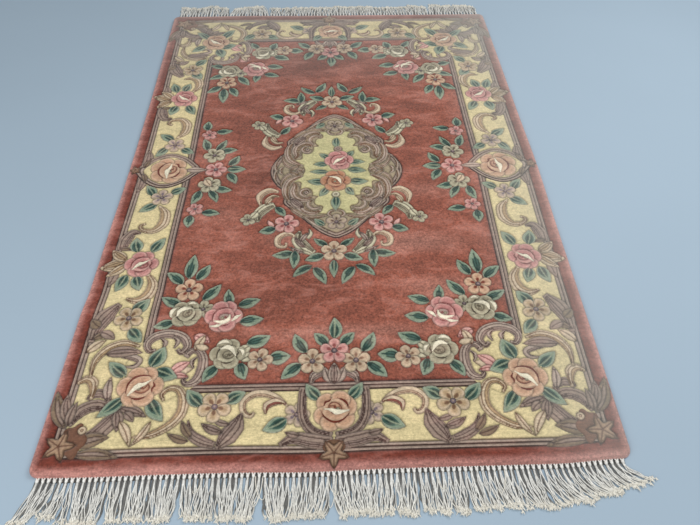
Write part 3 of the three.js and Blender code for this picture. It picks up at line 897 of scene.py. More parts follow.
class TuftGrid:
    """The pile's grid of tufts, pulled onto the pattern's outlines, carved and dyed, with painted shade along
    the carved lines.
    """
    FAR_AWAY = 99.0      # distance of a tuft that no outline has come near yet, mm
    CARVED_REACH = 9.0   # how far from an outline its carving still shows, mm
    DYED_REACH = 6.0     # how far from an outline its dye can reach, mm
    DOME = 7.0           # how far in from its edge a patch has nearly its full height, mm
    LINE_PULL = 0.6      # how far a thin line pulls tufts, in columns
    PATCH_PULL = 0.54    # how far any outline moves a tuft, in the wider of column and row

    def __init__(self, columns, rows, groove_width):
        self.columns, self.rows = columns, rows
        self.pitch_x, self.pitch_y = 2 * HALF_X / columns, 2 * HALF_Y / rows
        self.groove_width = groove_width
        line_x = np.linspace(-HALF_X, HALF_X, columns + 1)
        line_y = np.linspace(-HALF_Y, HALF_Y, rows + 1)
        self.x, self.y = (a.astype(np.float32) for a in np.meshgrid(line_x, line_y))
        self.near = np.full(self.x.shape, self.FAR_AWAY, np.float32)
        self.step_x = np.zeros_like(self.x)
        self.step_y = np.zeros_like(self.x)
        self.cut = np.zeros_like(self.x)
        self.lift = np.zeros_like(self.x)

    def window(self, path, margin):
        """The slice of grid points round a path."""
        low, high = path.min(axis=0) - margin, path.max(axis=0) + margin
        i0 = int(max(0, (low[0] + HALF_X) / self.pitch_x))
        i1 = int(min(self.columns, (high[0] + HALF_X) / self.pitch_x + 1))
        j0 = int(max(0, (low[1] + HALF_Y) / self.pitch_y))
        j1 = int(min(self.rows, (high[1] + HALF_Y) / self.pitch_y + 1))
        return slice(j0, j1 + 1), slice(i0, i1 + 1)

    def carve(self, mark):
        """Adds one mark's outline to the pull and the carving of the grid points."""
        outline = outline_of(mark)
        at = self.window(mark.path, self.CARVED_REACH)
        x, y = self.x[at].ravel(), self.y[at].ravel()
        far, step_x, step_y = nearest_step(outline, x, y)
        shape = self.x[at].shape
        inner = np.zeros(shape, bool) if mark.width else within(outline, x, y).reshape(shape)
        far, step_x, step_y = (a.reshape(shape) for a in (far, step_x, step_y))
        groove = mark.edge * np.exp(-(far / self.groove_width) ** 2)
        near, cut = self.near[at], self.cut[at]
        limit = self.LINE_PULL * self.pitch_x if mark.width else self.FAR_AWAY
        closer = inner | ((far < near) & (far < limit))
        near[closer] = far[closer]
        self.step_x[at][closer] = step_x[closer]
        self.step_y[at][closer] = step_y[closer]
        cut[...] = np.where(inner, groove, np.maximum(cut, groove))
        dome = mark.lift * (0.45 + 0.55 * (1 - np.exp(-far / self.DOME)))
        self.lift[at][inner] = dome[inner]

    def settle(self):
        """Pulls the nearest points onto the outlines and chooses how each square is split."""
        held = self.near < self.PATCH_PULL * max(self.pitch_x, self.pitch_y)
        held[[0, -1], :] = held[:, [0, -1]] = False
        self.x = self.x + self.step_x * held
        self.y = self.y + self.step_y * held
        number = np.arange(self.x.size, dtype=np.int32).reshape(self.x.shape)
        a, b, c, d = number[:-1, :-1], number[:-1, 1:], number[1:, 1:], number[1:, :-1]
        ha, hb, hc, hd = held[:-1, :-1], held[:-1, 1:], held[1:, 1:], held[1:, :-1]
        checker = (np.add.outer(np.arange(self.rows), np.arange(self.columns)) % 2).astype(bool)
        rising = np.where(ha & hc & ~(hb & hd), True, np.where(hb & hd & ~(ha & hc), False, checker))
        rising = rising[..., None]
        first = np.where(rising, np.stack([a, b, c], -1), np.stack([a, b, d], -1))
        second = np.where(rising, np.stack([a, c, d], -1), np.stack([b, c, d], -1))
        self.corners = np.stack([first, second], axis=2)
        self.middle_x = self.x.ravel()[self.corners].mean(axis=-1)
        self.middle_y = self.y.ravel()[self.corners].mean(axis=-1)
        self.dye = np.zeros(self.corners.shape + (3,), np.float32)
        self.variation_and_sheen = np.zeros(self.corners.shape[:3], np.float32)

    def paint(self, mark, dyes):
        """Dyes the tufts of one mark."""
        outline = outline_of(mark)
        at = self.window(mark.path, self.DYED_REACH)
        x, y = self.x[at], self.y[at]
        far, _, _ = nearest_step(outline, x.ravel(), y.ravel())
        squares = slice(at[0].start, at[0].stop - 1), slice(at[1].start, at[1].stop - 1)
        corners = self.corners[squares]
        scratch = self.scratch
        if mark.width:
            ink = np.clip(1.25 - far / (mark.width * 0.85), 0, 1).reshape(x.shape)
            scratch[..., 0][at] = ink
            share = scratch[..., 0].ravel()[corners][..., None]
            part = self.dye[squares]
            part += (np.asarray(dyes[mark.core], np.float32) - part) * share
            return
        t = smooth_step(far, 0.0, max(mark.fade, 0.5)).reshape(x.shape)[..., None]
        rim, core = (np.asarray(dyes[name], np.float32) for name in (mark.rim, mark.core))
        scratch[at] = rim + (core - rim) * t
        centre_x, centre_y = self.middle_x[squares], self.middle_y[squares]
        inner = within(outline, centre_x.ravel(), centre_y.ravel()).reshape(centre_x.shape)
        self.dye[squares][inner] = scratch.reshape(-1, 3)[corners[inner]]
        self.variation_and_sheen[squares][inner] = 1.0 if mark.core == "field" else PATCH_VARIATION_AND_SHEEN

    def draw(self, marks, dyes):
        """Carves, settles and paints the whole pattern, with painted shade in its carved lines."""
        for mark in marks:
            self.carve(mark)
        self.settle()
        self.scratch = np.zeros(self.x.shape + (3,), np.float32)
        # Painted highlight: the guard is painted paler towards the rounded edge, where it turns towards the
        # light.
        edge = smooth_step(inset_of(self.x, self.y), 2.0, 30.0)[..., None]
        tip, guard = (np.asarray(dyes[name], np.float32) for name in ("guard_edge_highlight", "guard"))
        self.dye[...] = (tip + (guard - tip) * edge).reshape(-1, 3)[self.corners]
        self.variation_and_sheen[...] = GUARD_VARIATION_AND_SHEEN
        for mark in marks:
            self.paint(mark, dyes)
        # Painted shade: the wool is painted darker along each carved line, where the groove lies in shade.
        self.dye *= 1 - CARVED_SHADE * self.cut.ravel()[self.corners][..., None]
        self.vary(dyes)

    def vary(self, dyes):
        """Turns the dye paler or darker where a batch of wool ran out, and darker towards both ends."""
        batch = -0.06 * (self.middle_y / HALF_Y) ** 2
        for x, y, spread_x, spread_y, change in BATCHES:
            batch += change * bell(self.middle_x, x, spread_x) * bell(self.middle_y, y, spread_y)
        pale = (np.clip(3.2 * batch, 0, 0.6) * (self.variation_and_sheen == 1.0))[..., None, None]
        self.dye += (np.asarray(dyes["field_light"], np.float32) - self.dye) * pale
        self.dye *= (1 + np.minimum(batch, 0) * 1.6 * self.variation_and_sheen)[..., None, None]


# Meshes

def new_mesh_object(name, points, loops, counts):
    """Makes an object from points in metres and faces given by their corners, one after another."""
    mesh = bpy.data.meshes.new(name)
    points = np.asarray(points, np.float32)
    flat, counts = np.asarray(loops, np.int32).ravel(), np.asarray(counts, np.int32)
    mesh.vertices.add(len(points))
    mesh.vertices.foreach_set("co", points.ravel())
    mesh.loops.add(len(flat))
    mesh.loops.foreach_set("vertex_index", flat)
    mesh.polygons.add(len(counts))
    mesh.polygons.foreach_set("loop_start", np.concatenate([[0], np.cumsum(counts)[:-1]]).astype(np.int32))
    mesh.polygons.foreach_set("use_smooth", np.ones(len(counts), bool))
    mesh.update(calc_edges=True)
    mesh.validate()
    piece = bpy.data.objects.new(name, mesh)
    bpy.context.scene.collection.objects.link(piece)
    return piece


def rim_of(spot):
    """The numbers of a grid's edge points, once round from its near left corner."""
    return np.concatenate([spot[0, :-1], spot[:-1, -1], spot[-1, :0:-1], spot[:0:-1, 0]])


def place_on_floor(points):
    """Moves points from the rug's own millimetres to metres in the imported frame."""
    return (np.asarray(points, float) + (*floor_offset(), 0.0)) * MM


def on_floor(x, y, z):
    """Lays grid points of the straight rug on the floor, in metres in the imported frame."""
    return place_on_floor(np.stack([*lie(x, y), z], axis=-1))


def add_colours(piece, name, values):
    """Stores one colour for each face corner."""
    layer = piece.data.color_attributes.new(name, "FLOAT_COLOR", "CORNER")
    layer.data.foreach_set("color", np.asarray(values, np.float32).ravel())


# Materials

def new_material(name):
    """An empty node material with its shader and output."""
    material = bpy.data.materials.new(name)
    material.use_nodes = True
    tree = material.node_tree
    tree.nodes.clear()
    shader = tree.nodes.new("ShaderNodeBsdfPrincipled")
    output = tree.nodes.new("ShaderNodeOutputMaterial")
    tree.links.new(shader.outputs["BSDF"], output.inputs["Surface"])
    return material, tree, shader


def node(tree, kind, inputs=None, **values):
    """Adds a node with its settings; inputs maps socket names to values or output sockets."""
    made = tree.nodes.new(kind)
    for key, value in values.items():
        setattr(made, key, value)
    for key, value in (inputs or {}).items():
        if isinstance(value, bpy.types.NodeSocket):
            tree.links.new(value, made.inputs[key])
        else:
            made.inputs[key].default_value = value
    return made


def per(millimetres):
    """How often a length fits in a metre, which is what a pattern's scale counts."""
    return 1.0 / (millimetres * MM)


def wave_scale(millimetres, turns=20):
    """The scale that sets a wave's bands this far apart: straight bands turn 20 times in a unit of
    the texture and diagonal ones 10 times."""
    return 2 * math.pi / (turns * millimetres * MM)


def wool_material(tuft):
    """Hand-spun wool pile given a chemical wash, sheared and carved: matt, soft at grazing angles,
    its dye uneven from batch to batch, its tufts showing as a fine grain, with painted highlight and glare."""
    material, tree, shader = new_material("carved_wool_pile")
    place = node(tree, "ShaderNodeTexCoord").outputs["Object"]
    # The dye of the pile, with the painted shade of the carved lines and the painted highlight of the rounded
    # edge already in it.
    dyes = node(tree, "ShaderNodeAttribute", attribute_name="pile_dye")
    tone, nap_highlight_share = wool_tone(tree, place, dyes.outputs["Alpha"], tuft)
    dyed = node(tree, "ShaderNodeVectorMath", {0: dyes.outputs["Color"], "Scale": tone},
                operation="SCALE").outputs[0]
    # Painted highlight where the nap leans towards the light.
    colour = node(tree, "ShaderNodeMix", {"Factor": nap_highlight_share, "A": dyed, "B": (*linear(NAP_HIGHLIGHT), 1)},
                  data_type="RGBA").outputs[2]
    # Painted glare at the far end and along the right-hand border.
    colour = node(tree, "ShaderNodeMix", {"Factor": painted_glare_share(tree, place), "A": colour,
                                          "B": (*linear(PAINTED_GLARE), 1)}, data_type="RGBA").outputs[2]
    tree.links.new(colour, shader.inputs["Base Color"])
    tree.links.new(tuft_relief(tree, place, tuft), shader.inputs["Normal"])
    shader.inputs["Roughness"].default_value = 0.95
    shader.inputs["IOR"].default_value = 1.55
    shader.inputs["Specular IOR Level"].default_value = 0.2
    shader.inputs["Sheen Weight"].default_value = 0.25
    shader.inputs["Sheen Roughness"].default_value = 0.5
    return material


def wool_tone(tree, place, varied, tuft):
    """How light the wool is at each spot, with painted shading from the lie of the nap, and how much painted
    highlight shows where the nap leans to the light. The varied share says how much a colour changes between
    batches, and scales that highlight."""
    # Abrash: bands across the rug where one batch of dyed wool ended and the next began.
    across = node(tree, "ShaderNodeMapping", {"Vector": place,
                                              "Scale": (*map(per, DYE_BATCH), 1.0)}).outputs[0]
    batches = node(tree, "ShaderNodeTexNoise", {"Vector": across, "Scale": 1.0, "Detail": 5.0,
                                                "Roughness": 0.62, "Distortion": 0.9}).outputs["Fac"]
    wide = node(tree, "ShaderNodeMapRange", {"Value": batches, "From Min": 0.36, "From Max": 0.64,
                                             "To Min": 0.78, "To Max": 1.16}).outputs[0]
    tone = node(tree, "ShaderNodeMix", {"Factor": varied, "A": 1.0, "B": wide},
                data_type="FLOAT").outputs[0]
    # Painted shading: the nap lies one way in some places and the other way in others, and is painted lighter
    # and darker as the light catches it.
    combed = node(tree, "ShaderNodeMapping", {"Vector": place,
                                              "Scale": (*map(per, NAP_PATCH), 1.0)}).outputs[0]
    nap = node(tree, "ShaderNodeTexNoise", {"Vector": combed, "Scale": 1.0, "Detail": 4.0,
                                            "Roughness": 0.68, "Distortion": 1.1}).outputs["Fac"]
    nap_shading = node(tree, "ShaderNodeMapRange", {"Value": nap, "From Min": 0.36, "From Max": 0.64,
                                               "To Min": 0.86, "To Max": 1.12}).outputs[0]
    # Short streaks along the rows of knots, where one length of yarn gives way to the next.
    streak_scale = (*map(per, YARN_STREAK), per(YARN_STREAK[0]))
    rows = node(tree, "ShaderNodeMapping", {"Vector": place, "Scale": streak_scale}).outputs[0]
    streaks = node(tree, "ShaderNodeTexNoise", {"Vector": rows, "Scale": 1.0, "Detail": 3.0,
                                                "Roughness": 0.7}).outputs["Fac"]
    fibre = node(tree, "ShaderNodeMapRange", {"Value": streaks, "From Min": 0.3, "From Max": 0.7,
                                              "To Min": 0.86, "To Max": 1.14}).outputs[0]
    # The real tufts are under 2 mm: they are drawn up to 7 mm wide so that they show.
    grain = node(tree, "ShaderNodeTexNoise", {"Vector": place, "Scale": per(2.2 * tuft), "Detail": 2.0,
                                              "Roughness": 0.8}).outputs["Fac"]
    speck = node(tree, "ShaderNodeMapRange", {"Value": grain, "From Min": 0.32, "From Max": 0.68,
                                              "To Min": 0.55, "To Max": 1.45}).outputs[0]
    # Plain wool shows more grain than the motifs.
    plain = node(tree, "ShaderNodeMapRange", {"Value": varied, "To Min": 0.12, "To Max": 1.0}).outputs[0]
    speck = node(tree, "ShaderNodeMix", {"Factor": plain, "A": 1.0, "B": speck},
                 data_type="FLOAT").outputs[0]
    for factor in (nap_shading, fibre, speck):
        tone = node(tree, "ShaderNodeMath", {0: tone, 1: factor}, operation="MULTIPLY").outputs[0]
    # Painted highlight: where the nap leans towards the light, the dye is painted pinker and paler.
    bright = node(tree, "ShaderNodeMath", {0: batches, 1: nap}, operation="ADD").outputs[0]
    nap_highlight_share = node(tree, "ShaderNodeMapRange", {"Value": bright, "From Min": 1.0, "From Max": 1.25,
                                               "To Min": 0.0, "To Max": 0.32}).outputs[0]
    nap_highlight_share = node(tree, "ShaderNodeMath", {0: nap_highlight_share, 1: varied}, operation="MULTIPLY").outputs[0]
    return tone, nap_highlight_share


def painted_glare_share(tree, place):
    """How much painted glare pales the wool: most at the far end and along the right-hand border."""
    spot = node(tree, "ShaderNodeSeparateXYZ", {0: place})
    far = node(tree, "ShaderNodeMapRange", {"Value": spot.outputs["Y"], "From Min": 0.45, "From Max": 1.15,
                                            "To Min": 0.0, "To Max": 0.26}).outputs[0]
    right = node(tree, "ShaderNodeMapRange", {"Value": spot.outputs["X"], "From Min": 0.46, "From Max": 0.72,
                                              "To Min": 0.0, "To Max": 0.28}).outputs[0]
    return node(tree, "ShaderNodeMath", {0: far, 1: right}, operation="ADD").outputs[0]


def tuft_relief(tree, place, tuft):
    """The cut ends of the tufts, each a low fuzzy dome."""
    domes = node(tree, "ShaderNodeTexVoronoi", {"Vector": place, "Scale": per(tuft)}).outputs["Distance"]
    fuzz = node(tree, "ShaderNodeTexNoise", {"Vector": place, "Scale": per(tuft / 2.6),
                                             "Detail": 2.0}).outputs["Fac"]
    height = node(tree, "ShaderNodeMath", {0: domes, 1: fuzz}, operation="SUBTRACT").outputs[0]
    return node(tree, "ShaderNodeBump", {"Height": height, "Strength": 0.55, "Distance": 1.6 * MM},
                invert=True).outputs[0]


def cotton_material():
    """Plied cotton warp, undyed and yellowed by washing: matt, with the twist of its plies."""
    material, tree, shader = new_material("plied_cotton_warp")
    tint = node(tree, "ShaderNodeAttribute", attribute_name="cotton_tint").outputs["Color"]
    place = node(tree, "ShaderNodeTexCoord").outputs["Object"]
    # Soil gathers in spots some 6 mm across.
    soil = node(tree, "ShaderNodeTexNoise", {"Vector": place, "Scale": per(6.25),
                                             "Detail": 3.0}).outputs["Fac"]
    shade = node(tree, "ShaderNodeMapRange", {"Value": soil, "From Min": 0.3, "From Max": 0.7,
                                              "To Min": 0.78, "To Max": 1.08}).outputs[0]
    colour = node(tree, "ShaderNodeVectorMath", {0: tint, "Scale": shade}, operation="SCALE").outputs[0]
    tree.links.new(colour, shader.inputs["Base Color"])
    # The plies cross a strand every 5 mm.
    plies = node(tree, "ShaderNodeTexWave", {"Vector": place, "Scale": wave_scale(5.0, turns=10),
                                             "Distortion": 1.5, "Detail": 1.0},
                 bands_direction="DIAGONAL").outputs["Fac"]
    relief = node(tree, "ShaderNodeBump", {"Height": plies, "Strength": 0.5, "Distance": 0.6 * MM}).outputs[0]
    tree.links.new(relief, shader.inputs["Normal"])
    shader.inputs["Roughness"].default_value = 0.9
    shader.inputs["IOR"].default_value = 1.53
    shader.inputs["Specular IOR Level"].default_value = 0.25
    shader.inputs["Sheen Weight"].default_value = 0.15
    return material


def floor_material(colour):
    """Matt painted floor, so plain that only the rug's soft shadow shows on it."""
    material, tree, shader = new_material("matt_painted_floor")
    place = node(tree, "ShaderNodeTexCoord").outputs["Object"]
    # Faint clouds about 0.7 m across.
    cloud = node(tree, "ShaderNodeTexNoise", {"Vector": place, "Scale": per(667),
                                              "Detail": 2.0}).outputs["Fac"]
    shade = node(tree, "ShaderNodeMapRange", {"Value": cloud, "To Min": 0.97, "To Max": 1.03}).outputs[0]
    tint = node(tree, "ShaderNodeVectorMath", {0: colour, "Scale": shade}, operation="SCALE").outputs[0]
    tree.links.new(tint, shader.inputs["Base Color"])
    shader.inputs["Roughness"].default_value = 0.9
    return material


def foundation_material():
    """Plain-woven cotton foundation on the underside: matt, with a fine weave."""
    material, tree, shader = new_material("woven_cotton_foundation")
    place = node(tree, "ShaderNodeTexCoord").outputs["Object"]
    # A thread every 1.9 mm each way, with the knots' backs showing between them.
    threads = {"Vector": place, "Scale": wave_scale(1.91), "Distortion": 0.6}
    warp = node(tree, "ShaderNodeTexWave", threads, bands_direction="X").outputs["Fac"]
    weft = node(tree, "ShaderNodeTexWave", threads, bands_direction="Y").outputs["Fac"]
    weave = node(tree, "ShaderNodeMath", {0: warp, 1: weft}, operation="MULTIPLY").outputs[0]
    colour = node(tree, "ShaderNodeMix", {"Factor": weave, "A": (*linear("#A9876F"), 1),
                                          "B": (*linear("#D6C7A8"), 1)}, data_type="RGBA").outputs[2]
    tree.links.new(colour, shader.inputs["Base Color"])
    relief = node(tree, "ShaderNodeBump", {"Height": weave, "Strength": 0.6, "Distance": 0.8 * MM}).outputs[0]
    tree.links.new(relief, shader.inputs["Normal"])
    shader.inputs["Roughness"].default_value = 0.92
    return material


# Operators

class RUG_OT_knot_pile(bpy.types.Operator):
    """Knots, dyes and carves the wool pile in lengthwise breadths"""
    bl_idname = "rug.knot_pile"
    bl_label = "Knot pile"

    def execute(self, context):
        pile, dyes = context.scene.rug_pile, context.scene.rug_dyes
        colours = {name: tuple(getattr(dyes, name)) for name in RugDyes.__annotations__}
        grid = TuftGrid(pile.columns, pile.rows, pile.groove_width)
        grid.draw(pattern(), colours)
        x, y = round_corner(grid.x.astype(float), grid.y.astype(float))
        z = pile_height(grid.x, grid.y) + pile.lift * grid.lift - pile.groove * grid.cut
        # The shears leave each tuft up to a quarter of a millimetre high or low.
        number = np.arange(x.size).reshape(x.shape)
        z = z + 0.25 * scatter(number, 1) * smooth_step(inset_of(grid.x, grid.y), 0, 6)
        top = on_floor(x, y, z)
        normals = grid_normals(top, grid.corners)
        material = wool_material(pile.tuft)
        step = pile.columns // pile.breadths
        for k in range(pile.breadths):
            knot_breadth(k, slice(k * step, (k + 1) * step), grid, top, normals, material)
        return {"FINISHED"}


def grid_normals(points, corners):
    """The normal of each grid point over the whole pile, so that no seam shows between breadths."""
    flat, faces = points.reshape(-1, 3), corners.reshape(-1, 3)
    a, b, c = (flat[faces[:, k]] for k in range(3))
    facing = np.cross(b - a, c - a)
    total = [np.bincount(faces.ravel(), np.repeat(facing[:, k], 3), len(flat)) for k in range(3)]
    normals = np.stack(total, axis=1)
    return (normals / np.linalg.norm(normals, axis=1)[:, None]).reshape(points.shape)


def fold_map(piece, upper, rows, cols, folds=3):
    """A map for baking a breadth: its top folded into strips side by side, its sides and its base
    squeezed in beside them."""
    top_to, wall_from, wall_to, base_from, base_to = 0.96, 0.966, 0.979, 0.984, 0.996
    per_fold = math.ceil((rows - 1) / folds)
    fold = (np.arange(rows - 1) // per_fold)[:, None, None, None]
    ids = upper.reshape(rows - 1, cols - 1, 2, 3)
    u = top_to * (fold + 0.01 + 0.98 * (ids % cols) / (cols - 1)) / folds
    v = 0.004 + 0.992 * (ids // cols - fold * per_fold) / per_fold
    rim = 2 * (rows + cols - 2)
    k = np.arange(rim) / rim
    after = k + 1 / rim
    high, low = np.full(rim, wall_from), np.full(rim, wall_to)
    walls_u = np.concatenate([np.stack([high, low, low], 1), np.stack([high, low, high], 1)]).ravel()
    walls_v = np.concatenate([np.stack([k, k, after], 1), np.stack([k, after, after], 1)]).ravel()
    row = 1 / (rows - 1)
    r = np.arange(1, rows - 2) * row
    base_u = np.tile([base_from, base_from, base_to, base_to], len(r))
    base_v = np.stack([r, r + row, r + row, r], 1).ravel()
    across = np.linspace(base_from, base_to, cols)
    ends_u = np.concatenate([[base_from, base_to], across[::-1], [base_to, base_from], across])
    ends_v = np.concatenate([[row, row], np.zeros(cols), [1 - row, 1 - row], np.ones(cols)])
    spots = np.stack([np.concatenate([u.ravel(), walls_u, base_u, ends_u]),
                      np.concatenate([v.ravel(), walls_v, base_v, ends_v])], 1)
    piece.data.uv_layers.new(name="OFBake").data.foreach_set("uv", spots.astype(np.float32).ravel())


def breadth_base(foot, rows, cols):
    """The faces below a breadth: a four-sided one for each row of tufts, a many-sided one at each end."""
    left = np.concatenate([foot[:1], foot[2 * cols + rows - 3:][::-1]])
    right = foot[cols - 1:cols - 1 + rows]
    base = np.stack([left[1:-2], left[2:-1], right[2:-1], right[1:-2]], 1)
    near_end = np.concatenate([[left[1]], [right[1]], foot[:cols][::-1]])
    far_end = np.concatenate([[right[-2]], [left[-2]], foot[cols + rows - 2:2 * cols + rows - 2][::-1]])
    return base, near_end, far_end


def knot_breadth(number, columns, grid, top, normals, material):
    """Makes one lengthwise breadth of the pile, closed at its sides and below."""
    points = top[:, columns.start:columns.stop + 1]
    rows, cols = points.shape[:2]
    local = np.full(top.shape[:2], -1)
    local[:, columns.start:columns.stop + 1] = np.arange(rows * cols).reshape(rows, cols)
    upper = local.ravel()[grid.corners[:, columns]].reshape(-1, 3)
    rim = rim_of(np.arange(rows * cols).reshape(rows, cols))
    foot = rows * cols + np.arange(len(rim))
    low = points.reshape(-1, 3)[rim] * (1, 1, 0) + (0, 0, PILE_BOTTOM * MM)
    rim_next, foot_next = np.roll(rim, -1), np.roll(foot, -1)
    walls = np.concatenate([np.stack([rim, foot, foot_next], 1), np.stack([rim, foot_next, rim_next], 1)])
    base, near_end, far_end = breadth_base(foot, rows, cols)
    loops = np.concatenate([upper.ravel(), walls.ravel(), base.ravel(), near_end, far_end])
    counts = [3] * (len(upper) + len(walls)) + [4] * len(base) + [len(near_end), len(far_end)]
    piece = new_mesh_object(f"pile_breadth_{number + 1}", np.vstack([points.reshape(-1, 3), low]),
                            loops, counts)
    # Each corner's dye with its painted shade and highlight, and in alpha its share of dye variation and
    # painted sheen.
    variation_and_sheen = np.repeat(grid.variation_and_sheen[:, columns].reshape(-1, 1), 3, axis=1)[..., None]
    dyed = np.concatenate([grid.dye[:, columns].reshape(-1, 3, 3), variation_and_sheen], axis=2).reshape(-1, 4)
    # The sides and the base take the painted highlight colour of the rounded edge.
    rest = np.tile((*bpy.context.scene.rug_dyes.guard_edge_highlight, 0.5), (len(loops) - len(dyed), 1))
    add_colours(piece, "pile_dye", np.vstack([dyed, rest]))
    fold_map(piece, upper, rows, cols)
    outward = np.hstack([low[:, :2], np.zeros((len(low), 1))])
    around = np.vstack([normals[:, columns.start:columns.stop + 1].reshape(-1, 3),
                        outward / np.linalg.norm(outward, axis=1)[:, None]])
    piece.data.normals_split_custom_set_from_vertices(around)
    piece.data.materials.append(material)
    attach(piece, "root")
    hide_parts("rug")


class RUG_OT_weave_foundation(bpy.types.Operator):
    bl_idname = "rug.weave_foundation"
    bl_label = "Weave foundation"

    rows, cols = 96, 64     # points along the rug and across it
    tuck = (0.9985, 0.999)  # its share of the pile's width and length, just short of the edge

    def execute(self, context):
        rows, cols = self.rows, self.cols
        x, y = np.meshgrid(np.linspace(-HALF_X, HALF_X, cols) * self.tuck[0],
                           np.linspace(-HALF_Y, HALF_Y, rows) * self.tuck[1])
        x, y = round_corner(x, y)
        layers = [on_floor(x, y, np.full(x.shape, z)) for z in (0.0, FOUNDATION_TOP)]
        spot = np.arange(rows * cols).reshape(rows, cols)
        a, b, c, d = spot[:-1, :-1], spot[:-1, 1:], spot[1:, 1:], spot[1:, :-1]
        over = np.stack([a, b, c, d], -1).reshape(-1, 4) + rows * cols
        under = np.stack([a, d, c, b], -1).reshape(-1, 4)
        rim = rim_of(spot)
        after = np.roll(rim, -1)
        wall = np.stack([rim, after, after + rows * cols, rim + rows * cols], 1)
        loops = np.concatenate([over, under, wall])
        piece = new_mesh_object("cotton_foundation", np.vstack([p.reshape(-1, 3) for p in layers]), loops,
                                [4] * len(loops))
        piece.data.materials.append(foundation_material())
        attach(piece, "root")
        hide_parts("rug")
        carried = [bpy.data.objects[f"pile_breadth_{k + 1}"] for k in range(context.scene.rug_pile.breadths)]
        carried += [bpy.data.objects["fringe_strands_near"], bpy.data.objects["fringe_strands_far"]]
        return {"FINISHED"}


class RUG_OT_knot_fringes(bpy.types.Operator):
    """Knots the cotton warps into a fringe at each end"""
    bl_idname = "rug.knot_fringes"
    bl_label = "Knot fringes"

    def execute(self, context):
        material = cotton_material()
        for name, node_name, clumps, end in (("near", "fringe_near", NEAR_CLUMPS, -1),
                                             ("far", "fringe_far", FAR_CLUMPS, 1)):
            piece = knot_fringe(f"fringe_strands_{name}", clumps, end)
            piece.data.materials.append(material)
            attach(piece, "root")
            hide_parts(node_name)
        return {"FINISHED"}


def lock_path(index, root_x, clump, end, share):
    """The middle line of one knot's lock, at shares of its length from the knot."""
    root_from, root_to, tip_from, tip_to, reach_from, reach_to = clump
    place = (root_x - root_from) / (root_to - root_from)
    tip_x = tip_from + (tip_to - tip_from) * place + 3 * scatter(index, 1 + end)
    reach = reach_from + (reach_to - reach_from) * place + 4 * scatter(index, 5 + end)
    start_x, start_y = lie(np.float64(root_x), np.float64(end * (HALF_Y + KNOT_OUT)))
    _, edge_y = lie(np.float64(root_x), np.float64(end * HALF_Y))
    out = end * (reach - abs(start_y - edge_y))
    return start_x + (tip_x - start_x) * share ** 1.5, start_y + out * (1 - (1 - share) ** 1.35)


def tube(path, radii, edges, flat=0.0):
    """A round or flattened strand along a path of points, closed at both ends."""
    run = np.gradient(path, axis=0)
    run /= np.linalg.norm(run, axis=1)[:, None]
    side = np.cross(run, (0.0, 0.0, 1.0))
    side /= np.maximum(np.linalg.norm(side, axis=1), 1e-6)[:, None]
    up = np.cross(side, run)
    a = np.linspace(0, 2 * math.pi, edges, endpoint=False)
    circle = (side[:, None] * (1 + flat) * np.cos(a)[None, :, None]
              + up[:, None] * (1 - flat) * np.sin(a)[None, :, None])
    points = (path[:, None] + circle * np.asarray(radii)[:, None, None]).reshape(-1, 3)
    spot = np.arange(len(points)).reshape(len(path), edges)
    nxt = np.roll(spot, -1, axis=1)
    quads = np.stack([spot[:-1], nxt[:-1], nxt[1:], spot[1:]], -1).reshape(-1, 4)
    return points, quads, [spot[0][::-1], spot[-1]]


def knot_fringe(name, clumps, end):
    """One fringe as a mesh object."""
    fringe = Fringe(clumps, end)
    for index in range(fringe.settings.knots + 1):
        fringe.gather(index)
    if end < 0:
        fringe.curl_back()
    fringe.lay_shadow_strip()
    return fringe.mesh_object(name)


